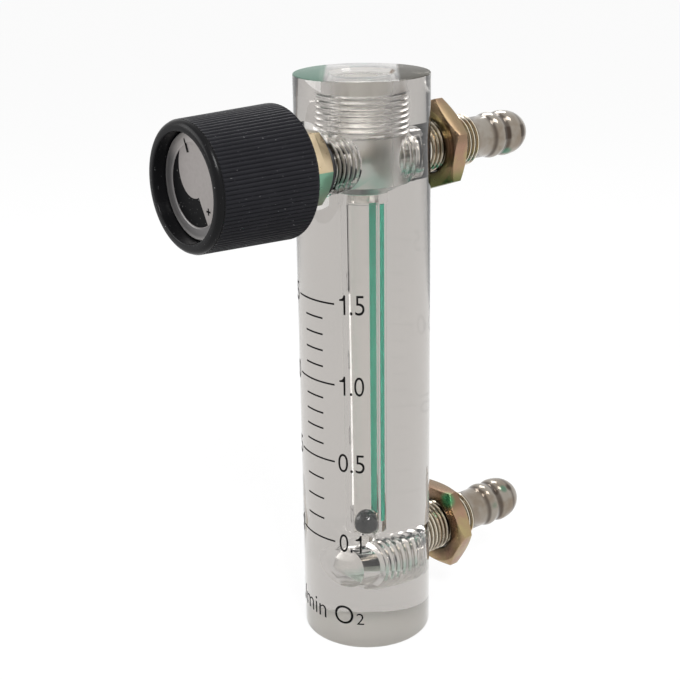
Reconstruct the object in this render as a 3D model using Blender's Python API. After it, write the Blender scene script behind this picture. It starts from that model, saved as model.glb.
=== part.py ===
"""Oxygen flowmeter for a small flow: a clear turned column with a tapered bore and a ball float.

A needle valve with a ribbed knob is screwed into the front of the column (-Y), and two hose
barbs are screwed into its back (+Y), the inlet low and the outlet high. Metres, +Z up. The
origin is the centre of the column's bottom face.
"""

import math

import bmesh
import bpy
from mathutils import Matrix

# Clearances
FIT_GAP = 0.0002
FACE_GAP = 0.0003
FLOAT_GAP = 0.0001
STEM_GAP = 0.0002
CUT_THROUGH = 0.001

# Column
COLUMN_DIAMETER = 0.025
COLUMN_HEIGHT = 0.110
COLUMN_EDGE_CHAMFER = 0.0004
LOWER_PORT_HEIGHT = 0.0145
UPPER_PORT_BELOW_TOP = 0.0155
DRILL_POINT_ANGLE = math.radians(118)

# Float and its tapered bore
FLOAT_DIAMETER = 0.0047625
BORE_TOP_CLEARANCE = 0.0009
PASSAGE_DIAMETER = 0.0024
SEAT_ABOVE_PORT = 0.0064
STOP_DIAMETER = 0.0058
STOP_THICKNESS = 0.0016
STOP_WINDOW_DIAMETER = 0.0040
STOP_BAR_WIDTH = 0.0010

# Top chamber and its plug
CHAMBER_DIAMETER = 0.0112
CHAMBER_BELOW_PORT = 0.0045
MOUTH_CHAMFER = 0.0007
PLUG_RECESS = 0.0008
PLUG_CHAMFER = 0.0004
PLUG_KEY_ACROSS_FLATS = 0.0060
PLUG_KEY_DEPTH = 0.0035

# Port threads, given by their outside diameter
PORT_THREAD_DIAMETER = 0.0100
PORT_CHAMFER = 0.0004
THREAD_CHAMFER = 0.0005
LOWER_BORE_DIAMETER = 0.0085
LOWER_BORE_PAST_AXIS = 0.0040
LOWER_TAP_PAST_AXIS = 0.0006
SPOT_FACE_DEPTH = 0.0010
SPOT_FACE_MARGIN = 0.0005

# Hose barbs
BARB_PAST_CHAMBER_WALL = 0.0006
BARB_THREAD_OUTSIDE = 0.0115
BARB_SEAL_SETBACK = 0.0009
BARB_GROOVE_WIDTH = 0.0022
BARB_SHOULDER_LENGTH = 0.0012
BARB_NECK_DIAMETER = 0.0081
BARB_NECK_LENGTH = 0.0057
BARB_RIDGE_DIAMETER = 0.0090
BARB_RIDGE_PITCH = 0.0038
BARB_RIDGE_LAND = 0.0014
BARB_RIDGE_RISE = 0.0012
BARB_RIDGE_FALL = 0.0006
BARB_RIDGES = 2
BARB_NOSE_TAPER_LENGTH = 0.0023
BARB_NOSE_TAPER_DIAMETER = 0.0069
BARB_NOSE_ROUND_LENGTH = 0.0017
BARB_NOSE_ROUND_FROM = math.radians(40)
BARB_MOUTH_DIAMETER = 0.0044
BARB_BORE_DIAMETER = 0.0036
PORT_SEAL_SECTION = 0.0018

# Panel nuts
NUT_ACROSS_FLATS = 0.0160
NUT_THICKNESS = 0.0032
OUTLET_NUT_FROM_COLUMN = 0.0030
INLET_NUT_FROM_COLUMN = 0.0051
NUT_CHAMFER_ANGLE = math.radians(30)
OUTLET_NUT_TURN = math.radians(10.5)
INLET_NUT_TURN = math.radians(28.5)

# Valve seat, pressed into the outlet barb
VALVE_SEAT_DIAMETER = 0.0054
VALVE_SEAT_DEPTH = 0.0030
VALVE_ORIFICE_DIAMETER = 0.0022

# Valve bonnet
BONNET_PAST_CHAMBER_WALL = 0.0011
BONNET_HEX_ACROSS_FLATS = 0.0130
BONNET_HEX_HEIGHT = 0.0046
BONNET_HEX_TURN = math.radians(32)
BONNET_BOSS_DIAMETER = 0.0094
BONNET_BOSS_HEIGHT = 0.0015
BONNET_SEAL_SECTION = 0.0010
BONNET_GLAND_DIAMETER = 0.0060
RETAINER_DIAMETER = 0.0074
RETAINER_THICKNESS = 0.0016

# Valve stem
STEM_THREAD_DIAMETER = 0.0050
STEM_THREAD_PITCH = 0.00075
STEM_TURNS = 3
STEM_LAND_LENGTH = 0.0037
STEM_NECK_DIAMETER = 0.0040
STEM_SEAL_SECTION = 0.0012
NEEDLE_DIAMETER = 0.0030
NEEDLE_CONE_LENGTH = 0.0026
NEEDLE_TIP_DIAMETER = 0.0008
NEEDLE_PAST_SEAT = 0.0012

# Knob
KNOB_FRONT_FROM_AXIS = 0.0385
KNOB_LENGTH = 0.0201
KNOB_FRONT_DIAMETER = 0.0229
KNOB_REAR_DIAMETER = 0.0241
KNOB_RIBS = 96
KNOB_RIB_DEPTH = 0.00028
KNOB_PLAIN_BAND = 0.0015
KNOB_SHOULDER_RADIUS = 0.0009
KNOB_FRONT_RADIUS = 0.0011
KNOB_SKIRT_WALL = 0.0016
KNOB_WEB = 0.0016
KNOB_HUB_WALL = 0.0014
KNOB_HUB_SETBACK = 0.0021
KNOB_RECESS_DIAMETER = 0.0190
KNOB_RECESS_DEPTH = 0.0024
LABEL_THICKNESS = 0.0005
LABEL_EDGE = 0.0002
BUSH_WALL = 0.0011
SCREW_DIAMETER = 0.0030
SCREW_LENGTH = 0.0026
SCREW_KEY_ACROSS_FLATS = 0.0015
SCREW_KEY_DEPTH = 0.0012
SCREW_FROM_BUSH_REAR = 0.0050

# Facets round each form
COLUMN_SEGMENTS = 72
PORT_SEGMENTS = 36
BORE_SEGMENTS = 32
SMALL_SEGMENTS = 24
SEAL_SEGMENTS = 8
FLOAT_RINGS = 12
CORNER_STEPS = 2
NOSE_STEPS = 5

# Sizes worked out from those above
COLUMN_RADIUS = COLUMN_DIAMETER / 2
UPPER_PORT_HEIGHT = COLUMN_HEIGHT - UPPER_PORT_BELOW_TOP
DRILL_SLOPE = 1 / math.tan(DRILL_POINT_ANGLE / 2)
SEAT_EDGE_HEIGHT = LOWER_PORT_HEIGHT + SEAT_ABOVE_PORT
BORE_BOTTOM_RADIUS = FLOAT_DIAMETER / 2 + FLOAT_GAP
BORE_TOP_RADIUS = FLOAT_DIAMETER / 2 + BORE_TOP_CLEARANCE / 2
CHAMBER_RADIUS = CHAMBER_DIAMETER / 2
CHAMBER_FLOOR = UPPER_PORT_HEIGHT - CHAMBER_BELOW_PORT
STOP_POCKET_RADIUS = STOP_DIAMETER / 2 + FIT_GAP
STOP_POCKET_TOP = CHAMBER_FLOOR - (CHAMBER_RADIUS - STOP_POCKET_RADIUS) * DRILL_SLOPE
STOP_POCKET_BOTTOM = STOP_POCKET_TOP - STOP_THICKNESS - FACE_GAP
FLOAT_CONTACT = math.sqrt((FLOAT_DIAMETER / 2) ** 2 - (PASSAGE_DIAMETER / 2) ** 2)
FLOAT_HEIGHT = SEAT_EDGE_HEIGHT + FLOAT_CONTACT + FACE_GAP / 2
PORT_RADIUS = PORT_THREAD_DIAMETER / 2
PORT_HOLE_RADIUS = PORT_RADIUS + FIT_GAP
BONNET_HEX_CORNER = BONNET_HEX_ACROSS_FLATS / 2 / math.cos(math.pi / 6)
SPOT_FACE_RADIUS = BONNET_HEX_CORNER + SPOT_FACE_MARGIN
SPOT_FACE_FROM_AXIS = COLUMN_RADIUS - SPOT_FACE_DEPTH
SEAL_POCKET_RADIUS = PORT_HOLE_RADIUS + BONNET_SEAL_SECTION + FIT_GAP
SEAL_POCKET_DEPTH = BONNET_SEAL_SECTION
BONNET_HEX_START = SPOT_FACE_FROM_AXIS + FACE_GAP
BONNET_HEX_END = BONNET_HEX_START + BONNET_HEX_HEIGHT
BONNET_END = BONNET_HEX_END + BONNET_BOSS_HEIGHT
BONNET_INNER_END = CHAMBER_RADIUS - BONNET_PAST_CHAMBER_WALL
RETAINER_START = BONNET_END - RETAINER_THICKNESS
STEM_TRAVEL = STEM_THREAD_PITCH * STEM_TURNS
STEM_LAND_END = RETAINER_START - FACE_GAP - STEM_TRAVEL
STEM_LAND_START = STEM_LAND_END - STEM_LAND_LENGTH
GLAND_START = STEM_LAND_START - FACE_GAP
STEM_LAND_RADIUS = BONNET_GLAND_DIAMETER / 2 - STEM_GAP
STEM_THREAD_RADIUS = STEM_THREAD_DIAMETER / 2 - STEM_GAP
BARB_INNER_END = CHAMBER_RADIUS - BARB_PAST_CHAMBER_WALL
BARB_THREAD_END = COLUMN_RADIUS + BARB_THREAD_OUTSIDE
BARB_GROOVE_END = COLUMN_RADIUS - BARB_SEAL_SETBACK
BARB_GROOVE_START = BARB_GROOVE_END - BARB_GROOVE_WIDTH
PORT_SEAL_RADIUS = PORT_RADIUS - PORT_SEAL_SECTION / 2
BARB_GROOVE_RADIUS = PORT_SEAL_RADIUS - PORT_SEAL_SECTION / 2 - FIT_GAP
NEEDLE_TIP = -(BARB_INNER_END + NEEDLE_PAST_SEAT)
KNOB_REAR = KNOB_FRONT_FROM_AXIS - KNOB_LENGTH
KNOB_RECESS_FLOOR = KNOB_FRONT_FROM_AXIS - KNOB_RECESS_DEPTH - LABEL_THICKNESS - FACE_GAP
KNOB_WEB_REAR = KNOB_RECESS_FLOOR - KNOB_WEB
KNOB_HUB_REAR = KNOB_REAR + KNOB_HUB_SETBACK
STEM_OUTER_END = KNOB_WEB_REAR - FACE_GAP
BUSH_BORE_RADIUS = STEM_NECK_DIAMETER / 2 + FIT_GAP
BUSH_RADIUS = BUSH_BORE_RADIUS + BUSH_WALL
HUB_BORE_RADIUS = BUSH_RADIUS + FIT_GAP
HUB_RADIUS = HUB_BORE_RADIUS + KNOB_HUB_WALL
SCREW_FROM_AXIS = KNOB_HUB_REAR + SCREW_FROM_BUSH_REAR
SCREW_HOLE_RADIUS = SCREW_DIAMETER / 2 + FIT_GAP

TO_FRONT = Matrix.Rotation(math.radians(90), 4, "X")
TO_BACK = Matrix.Rotation(math.radians(-90), 4, "X")
UPRIGHT = Matrix.Identity(4)


def clear_scene():
    for old in list(bpy.data.objects):
        bpy.data.objects.remove(old, do_unlink=True)


def finish(name, colour, roughness, metallic=0.0, transmission=0.0, alpha=1.0):
    """A Principled material."""
    material = bpy.data.materials.new(name)
    material.use_nodes = True
    shader = material.node_tree.nodes["Principled BSDF"]
    shader.inputs["Base Color"].default_value = (*colour, 1)
    shader.inputs["Roughness"].default_value = roughness
    shader.inputs["Metallic"].default_value = metallic
    shader.inputs["Transmission Weight"].default_value = transmission
    shader.inputs["Alpha"].default_value = alpha
    material.diffuse_color = (*colour, alpha)
    return material


def solid_from(name, bm, material, turn=UPRIGHT, height=0.0):
    """An object made of a finished bmesh, turned and then raised to its place on the column's axis."""
    bmesh.ops.remove_doubles(bm, verts=bm.verts, dist=1e-7)
    bmesh.ops.dissolve_degenerate(bm, edges=bm.edges, dist=1e-7)
    bmesh.ops.recalc_face_normals(bm, faces=bm.faces)
    mesh = bpy.data.meshes.new(name)
    bm.to_mesh(mesh)
    bm.free()
    mesh.materials.append(material)
    mesh.shade_smooth()
    mesh.set_sharp_from_angle(angle=math.radians(35))
    solid = bpy.data.objects.new(name, mesh)
    bpy.context.scene.collection.objects.link(solid)
    solid.matrix_world = Matrix.Translation((0, 0, height)) @ turn
    return solid


def turned_mesh(profile, segments):
    """The closed surface of a (radius, distance) outline turned about Z. Radius 0 at both ends closes it,
    and an outline that stays off the axis is closed on itself."""
    bm = bmesh.new()
    points = [bm.verts.new((radius, 0, along)) for radius, along in profile]
    edges = [bm.edges.new(pair) for pair in zip(points, points[1:])]
    if profile[0][0] > 0:
        edges.append(bm.edges.new((points[-1], points[0])))
    bmesh.ops.spin(
        bm, geom=points + edges, axis=(0, 0, 1), cent=(0, 0, 0),
        angle=math.tau, steps=segments, use_merge=True,
    )
    return bm


def turned(name, profile, segments, material, turn=UPRIGHT, height=0.0):
    return solid_from(name, turned_mesh(profile, segments), material, turn, height)


def arc(centre_radius, centre_along, size, start_deg, end_deg, steps):
    """Points on a round corner of a turned outline."""
    angles = [math.radians(start_deg + (end_deg - start_deg) * k / steps) for k in range(steps + 1)]
    return [(centre_radius + size * math.cos(a), centre_along + size * math.sin(a)) for a in angles]


def prism_mesh(across_flats, start, end, turn):
    """A hexagonal prism about Z."""
    bm = bmesh.new()
    corner = across_flats / 2 / math.cos(math.pi / 6)
    bmesh.ops.create_cone(
        bm, cap_ends=True, segments=6, radius1=corner, radius2=corner, depth=end - start,
        matrix=Matrix.Translation((0, 0, (start + end) / 2)) @ Matrix.Rotation(turn, 4, "Z"),
    )
    return bm


def ring(name, middle_radius, section_radius, along, segments, material, turn, height):
    """A moulded sealing ring of round section."""
    section = [
        (
            middle_radius + section_radius * math.cos(math.tau * k / SEAL_SEGMENTS),
            along + section_radius * math.sin(math.tau * k / SEAL_SEGMENTS),
        )
        for k in range(SEAL_SEGMENTS)
    ]
    return turned(name, section, segments, material, turn, height)


def as_cutter(cutter):
    cutter.hide_render = True
    cutter.display_type = "WIRE"
    return cutter


def combine(solid, other, operation):
    """Cuts the other solid out of this one, joins it on or keeps what they share."""
    step = solid.modifiers.new(other.name, "BOOLEAN")
    step.operation = operation
    step.solver = "EXACT"
    step.object = as_cutter(other)


def column(acrylic):
    """The clear column, with every passage that is drilled and tapped in it."""
    chamfer = COLUMN_EDGE_CHAMFER
    rod = turned(
        "clear_column",
        [
            (0, 0),
            (COLUMN_RADIUS - chamfer, 0),
            (COLUMN_RADIUS, chamfer),
            (COLUMN_RADIUS, COLUMN_HEIGHT - chamfer),
            (COLUMN_RADIUS - chamfer, COLUMN_HEIGHT),
            (0, COLUMN_HEIGHT),
        ],
        COLUMN_SEGMENTS,
        acrylic,
    )
    above = COLUMN_HEIGHT + CUT_THROUGH
    seat_cone_top = SEAT_EDGE_HEIGHT + (BORE_BOTTOM_RADIUS - PASSAGE_DIAMETER / 2) * DRILL_SLOPE
    upright_bore = turned(
        "upright_bore",
        [
            (0, LOWER_PORT_HEIGHT),
            (PASSAGE_DIAMETER / 2, LOWER_PORT_HEIGHT),
            (PASSAGE_DIAMETER / 2, SEAT_EDGE_HEIGHT),
            (BORE_BOTTOM_RADIUS, seat_cone_top),
            (BORE_TOP_RADIUS, STOP_POCKET_BOTTOM),
            (STOP_POCKET_RADIUS, STOP_POCKET_BOTTOM),
            (STOP_POCKET_RADIUS, STOP_POCKET_TOP),
            (CHAMBER_RADIUS, CHAMBER_FLOOR),
            (CHAMBER_RADIUS, COLUMN_HEIGHT - MOUTH_CHAMFER),
            (CHAMBER_RADIUS + MOUTH_CHAMFER + CUT_THROUGH, above),
            (0, above),
        ],
        BORE_SEGMENTS,
        acrylic,
    )
    outside = COLUMN_RADIUS + CUT_THROUGH
    valve_port = turned(
        "valve_port",
        [
            (0, BONNET_INNER_END - FACE_GAP),
            (PORT_HOLE_RADIUS, BONNET_INNER_END - FACE_GAP),
            (PORT_HOLE_RADIUS, SPOT_FACE_FROM_AXIS - SEAL_POCKET_DEPTH),
            (SEAL_POCKET_RADIUS, SPOT_FACE_FROM_AXIS - SEAL_POCKET_DEPTH),
            (SEAL_POCKET_RADIUS, SPOT_FACE_FROM_AXIS),
            (SPOT_FACE_RADIUS, SPOT_FACE_FROM_AXIS),
            (SPOT_FACE_RADIUS, outside),
            (0, outside),
        ],
        PORT_SEGMENTS,
        acrylic,
        TO_FRONT,
        UPPER_PORT_HEIGHT,
    )
    mouth = [
        (PORT_HOLE_RADIUS, COLUMN_RADIUS - PORT_CHAMFER),
        (PORT_HOLE_RADIUS + PORT_CHAMFER + CUT_THROUGH, outside),
        (0, outside),
    ]
    outlet_port = turned(
        "outlet_port",
        [(0, BARB_INNER_END - FACE_GAP), (PORT_HOLE_RADIUS, BARB_INNER_END - FACE_GAP)] + mouth,
        PORT_SEGMENTS,
        acrylic,
        TO_BACK,
        UPPER_PORT_HEIGHT,
    )
    bore = LOWER_BORE_DIAMETER / 2
    inlet_port = turned(
        "inlet_port",
        [
            (0, -LOWER_BORE_PAST_AXIS - bore * DRILL_SLOPE),
            (bore, -LOWER_BORE_PAST_AXIS),
            (bore, -LOWER_TAP_PAST_AXIS),
            (PORT_HOLE_RADIUS, -LOWER_TAP_PAST_AXIS),
        ]
        + mouth,
        PORT_SEGMENTS,
        acrylic,
        TO_BACK,
        LOWER_PORT_HEIGHT,
    )
    for passage in (upright_bore, valve_port, outlet_port, inlet_port):
        combine(rod, passage, "DIFFERENCE")
    return rod


def top_plug(acrylic):
    """The clear screw plug that closes the chamber, with a hexagon socket for the key."""
    radius = CHAMBER_RADIUS - FIT_GAP
    bottom = UPPER_PORT_HEIGHT + PORT_RADIUS + FACE_GAP
    top = COLUMN_HEIGHT - PLUG_RECESS
    plug = turned(
        "top_plug",
        [
            (0, bottom),
            (radius - PLUG_CHAMFER, bottom),
            (radius, bottom + PLUG_CHAMFER),
            (radius, top - PLUG_CHAMFER),
            (radius - PLUG_CHAMFER, top),
            (0, top),
        ],
        BORE_SEGMENTS,
        acrylic,
    )
    socket = prism_mesh(PLUG_KEY_ACROSS_FLATS, top - PLUG_KEY_DEPTH, top + CUT_THROUGH, 0)
    combine(plug, solid_from("plug_key_socket", socket, acrylic), "DIFFERENCE")
    return plug


def float_ball(steel):
    bm = bmesh.new()
    bmesh.ops.create_uvsphere(
        bm, u_segments=SMALL_SEGMENTS, v_segments=FLOAT_RINGS, radius=FLOAT_DIAMETER / 2
    )
    return solid_from("float_ball", bm, steel, UPRIGHT, FLOAT_HEIGHT)


def float_stop(acrylic):
    """The clear stop above the tapered bore: a disc with two D-shaped windows beside a bar."""
    radius = STOP_DIAMETER / 2
    bottom = STOP_POCKET_BOTTOM + FACE_GAP
    disc = turned(
        "float_stop",
        [(0, bottom), (radius, bottom), (radius, bottom + STOP_THICKNESS), (0, bottom + STOP_THICKNESS)],
        BORE_SEGMENTS,
        acrylic,
    )
    low = bottom - CUT_THROUGH
    high = bottom + STOP_THICKNESS + CUT_THROUGH
    window_radius = STOP_WINDOW_DIAMETER / 2
    windows = turned(
        "stop_windows",
        [(0, low), (window_radius, low), (window_radius, high), (0, high)],
        SMALL_SEGMENTS,
        acrylic,
    )
    bar = bmesh.new()
    size = (STOP_DIAMETER, STOP_BAR_WIDTH, high - low + CUT_THROUGH)
    bmesh.ops.create_cube(bar, size=1, matrix=Matrix.Diagonal((*size, 1)))
    combine(windows, solid_from("stop_bar", bar, acrylic, UPRIGHT, (low + high) / 2), "DIFFERENCE")
    combine(disc, windows, "DIFFERENCE")
    return disc


def barb_outline():
    """The outside of a hose barb, from its inner end to its mouth, as (radius, distance) points."""
    thread, neck, crest = PORT_RADIUS, BARB_NECK_DIAMETER / 2, BARB_RIDGE_DIAMETER / 2
    points = [
        (thread - THREAD_CHAMFER, BARB_INNER_END),
        (thread, BARB_INNER_END + THREAD_CHAMFER),
        (thread, BARB_GROOVE_START),
        (BARB_GROOVE_RADIUS, BARB_GROOVE_START),
        (BARB_GROOVE_RADIUS, BARB_GROOVE_END),
        (thread, BARB_GROOVE_END),
        (thread, BARB_THREAD_END - THREAD_CHAMFER),
        (thread - THREAD_CHAMFER, BARB_THREAD_END),
        (neck, BARB_THREAD_END + BARB_SHOULDER_LENGTH),
    ]
    ridge_start = BARB_THREAD_END + BARB_NECK_LENGTH
    for k in range(BARB_RIDGES):
        foot = ridge_start + k * BARB_RIDGE_PITCH
        top = foot + BARB_RIDGE_RISE
        points += [(neck, foot), (crest, top), (crest, top + BARB_RIDGE_LAND)]
        if k < BARB_RIDGES - 1:
            points.append((neck, top + BARB_RIDGE_LAND + BARB_RIDGE_FALL))
    taper_end = top + BARB_RIDGE_LAND + BARB_NOSE_TAPER_LENGTH
    taper = BARB_NOSE_TAPER_DIAMETER / 2
    mouth = BARB_MOUTH_DIAMETER / 2
    first = BARB_NOSE_ROUND_FROM
    for k in range(NOSE_STEPS + 1):
        angle = first + (math.pi / 2 - first) * k / NOSE_STEPS
        inward = math.cos(angle) / math.cos(first)
        onward = (math.sin(angle) - math.sin(first)) / (1 - math.sin(first))
        points.append((mouth + (taper - mouth) * inward, taper_end + BARB_NOSE_ROUND_LENGTH * onward))
    return points


def hose_barb(name, nickel, height, seat_pocket):
    """A hose barb with its bore. The outlet's inner end also has a pocket for the valve seat."""
    outline = barb_outline()
    bore = BARB_BORE_DIAMETER / 2
    inside = [(bore, outline[-1][1])]
    if seat_pocket:
        pocket = VALVE_SEAT_DIAMETER / 2 + FIT_GAP
        inside += [
            (bore, BARB_INNER_END + VALVE_SEAT_DEPTH + FACE_GAP),
            (pocket, BARB_INNER_END + VALVE_SEAT_DEPTH + FACE_GAP),
            (pocket, BARB_INNER_END),
        ]
    else:
        inside.append((bore, BARB_INNER_END))
    return turned(name, outline + inside, PORT_SEGMENTS, nickel, TO_BACK, height)


def valve_seat(polymer):
    """The soft seat in the outlet's inner end, which the needle closes."""
    orifice = VALVE_ORIFICE_DIAMETER / 2
    radius = VALVE_SEAT_DIAMETER / 2
    needle_radius = NEEDLE_DIAMETER / 2
    lead_in = needle_radius - orifice + FIT_GAP
    return turned(
        "valve_seat",
        [
            (orifice + lead_in, BARB_INNER_END),
            (radius, BARB_INNER_END),
            (radius, BARB_INNER_END + VALVE_SEAT_DEPTH),
            (orifice, BARB_INNER_END + VALVE_SEAT_DEPTH),
            (orifice, BARB_INNER_END + lead_in),
        ],
        SMALL_SEGMENTS,
        polymer,
        TO_BACK,
        UPPER_PORT_HEIGHT,
    )


def chamfered_hex(name, across_flats, start, end, turn, hole_radius, material, place, height):
    """A hexagon whose corners are turned down at both faces, with a plain hole."""
    corner = across_flats / 2 / math.cos(math.pi / 6)
    flat = across_flats / 2
    drop = (corner - flat) * math.tan(NUT_CHAMFER_ANGLE)
    hexagon = solid_from(name, prism_mesh(across_flats, start, end, turn), material, place, height)
    envelope = turned(
        name + "_envelope",
        [
            (hole_radius, start - FIT_GAP),
            (flat - FIT_GAP, start - FIT_GAP),
            (flat, start),
            (corner + FIT_GAP, start + drop),
            (corner + FIT_GAP, end - drop),
            (flat, end),
            (flat - FIT_GAP, end + FIT_GAP),
            (hole_radius, end + FIT_GAP),
        ],
        PORT_SEGMENTS,
        material,
        place,
        height,
    )
    combine(hexagon, envelope, "INTERSECT")
    return hexagon


def panel_nut(name, zinc, height, turn, from_column):
    start = COLUMN_RADIUS + from_column
    end = start + NUT_THICKNESS
    return chamfered_hex(
        name, NUT_ACROSS_FLATS, start, end, turn, PORT_HOLE_RADIUS, zinc, TO_BACK, height
    )


def valve_bonnet(brass):
    """The valve's brass body: port thread, hexagon, boss, and the gland that the stem turns in."""
    stem_bore = STEM_THREAD_DIAMETER / 2
    gland = BONNET_GLAND_DIAMETER / 2
    retainer = RETAINER_DIAMETER / 2 + FIT_GAP
    thread = PORT_RADIUS
    bonnet = turned(
        "valve_bonnet",
        [
            (stem_bore, BONNET_INNER_END),
            (thread - THREAD_CHAMFER, BONNET_INNER_END),
            (thread, BONNET_INNER_END + THREAD_CHAMFER),
            (thread, BONNET_HEX_END),
            (BONNET_BOSS_DIAMETER / 2, BONNET_HEX_END),
            (BONNET_BOSS_DIAMETER / 2, BONNET_END),
            (retainer, BONNET_END),
            (retainer, RETAINER_START - FACE_GAP),
            (gland, RETAINER_START - FACE_GAP),
            (gland, GLAND_START),
            (stem_bore, GLAND_START),
        ],
        PORT_SEGMENTS,
        brass,
        TO_FRONT,
        UPPER_PORT_HEIGHT,
    )
    hexagon = chamfered_hex(
        "bonnet_hexagon",
        BONNET_HEX_ACROSS_FLATS,
        BONNET_HEX_START,
        BONNET_HEX_END,
        BONNET_HEX_TURN,
        (gland + thread) / 2,
        brass,
        TO_FRONT,
        UPPER_PORT_HEIGHT,
    )
    combine(bonnet, hexagon, "UNION")
    return bonnet


def stem_retainer(brass):
    """The screwed ring at the bonnet's outer end, which stops the stem at its last turn."""
    inner = STEM_NECK_DIAMETER / 2 + STEM_GAP
    outer = RETAINER_DIAMETER / 2
    return turned(
        "stem_retainer",
        [(inner, RETAINER_START), (outer, RETAINER_START), (outer, BONNET_END), (inner, BONNET_END)],
        SMALL_SEGMENTS,
        brass,
        TO_FRONT,
        UPPER_PORT_HEIGHT,
    )


def seal_groove():
    """Where the stem's sealing ring sits: (start, end, bottom radius)."""
    width = STEM_SEAL_SECTION + 2 * FIT_GAP
    start = STEM_LAND_START + (STEM_LAND_LENGTH - width) / 2
    return start, start + width, STEM_LAND_RADIUS - STEM_SEAL_SECTION


def valve_stem(brass):
    """The stem: needle, thread, sealing land and the neck that the knob is fixed to."""
    groove_start, groove_end, groove_radius = seal_groove()
    needle = NEEDLE_DIAMETER / 2
    neck = STEM_NECK_DIAMETER / 2
    thread_start = BONNET_INNER_END - FACE_GAP
    return turned(
        "valve_stem",
        [
            (0, NEEDLE_TIP),
            (NEEDLE_TIP_DIAMETER / 2, NEEDLE_TIP),
            (needle - FIT_GAP, NEEDLE_TIP + NEEDLE_CONE_LENGTH),
            (needle - FIT_GAP, thread_start - THREAD_CHAMFER),
            (STEM_THREAD_RADIUS, thread_start),
            (STEM_THREAD_RADIUS, STEM_LAND_START),
            (STEM_LAND_RADIUS, STEM_LAND_START),
            (STEM_LAND_RADIUS, groove_start),
            (groove_radius - FIT_GAP, groove_start),
            (groove_radius - FIT_GAP, groove_end),
            (STEM_LAND_RADIUS, groove_end),
            (STEM_LAND_RADIUS, STEM_LAND_END),
            (neck, STEM_LAND_END),
            (neck, STEM_OUTER_END),
            (0, STEM_OUTER_END),
        ],
        SMALL_SEGMENTS,
        brass,
        TO_FRONT,
        UPPER_PORT_HEIGHT,
    )


def stem_o_ring(rubber):
    groove_start, groove_end, groove_radius = seal_groove()
    section = STEM_SEAL_SECTION / 2
    return ring(
        "stem_o_ring", groove_radius + section, section, (groove_start + groove_end) / 2,
        SMALL_SEGMENTS, rubber, TO_FRONT, UPPER_PORT_HEIGHT,
    )


def knob_radius(along):
    """The knob's outside radius over its ribs, which tapers to the front."""
    share = (along - KNOB_REAR) / KNOB_LENGTH
    return (KNOB_REAR_DIAMETER + (KNOB_FRONT_DIAMETER - KNOB_REAR_DIAMETER) * share) / 2


def rib_ring(bm, along, rib_depth, radius):
    """One ring of the knob's outside: two points to each rib, the second in the groove."""
    points = []
    for k in range(2 * KNOB_RIBS):
        angle = math.tau * k / (2 * KNOB_RIBS)
        reach = radius - (rib_depth if k % 2 else 0)
        points.append(bm.verts.new((reach * math.cos(angle), reach * math.sin(angle), along)))
    return points


def knob_shell_mesh():
    """The knob's skirt and web: a ribbed outside, a recess for the label, and a hollow back."""
    bm = bmesh.new()
    shoulder, front = KNOB_SHOULDER_RADIUS, KNOB_FRONT_RADIUS
    front_end = KNOB_FRONT_FROM_AXIS
    band_start = front_end - KNOB_PLAIN_BAND
    rings = []
    for k in range(CORNER_STEPS + 1):
        angle = math.pi / 2 * k / CORNER_STEPS
        along = KNOB_REAR + shoulder - shoulder * math.cos(angle)
        inset = shoulder * (1 - math.sin(angle))
        depth = KNOB_RIB_DEPTH * math.sin(angle)
        rings.append(rib_ring(bm, along, depth, knob_radius(along) - inset))
    rings.append(rib_ring(bm, band_start, KNOB_RIB_DEPTH, knob_radius(band_start)))
    plain = knob_radius(band_start) - KNOB_RIB_DEPTH / 2
    rings.append(rib_ring(bm, band_start + KNOB_RIB_DEPTH, 0, plain))
    edge = front_end - front
    plain_front = knob_radius(edge) - KNOB_RIB_DEPTH / 2
    for k in range(CORNER_STEPS + 1):
        angle = math.pi / 2 * k / CORNER_STEPS
        along = edge + front * math.sin(angle)
        rings.append(rib_ring(bm, along, 0, plain_front - front * (1 - math.cos(angle))))
    for lower, upper in zip(rings, rings[1:]):
        for k in range(len(lower)):
            after = (k + 1) % len(lower)
            bm.faces.new((lower[k], lower[after], upper[after], upper[k]))
    bm.faces.new(list(reversed(rings[0])))
    bm.faces.new(rings[-1])
    return bm


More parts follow.
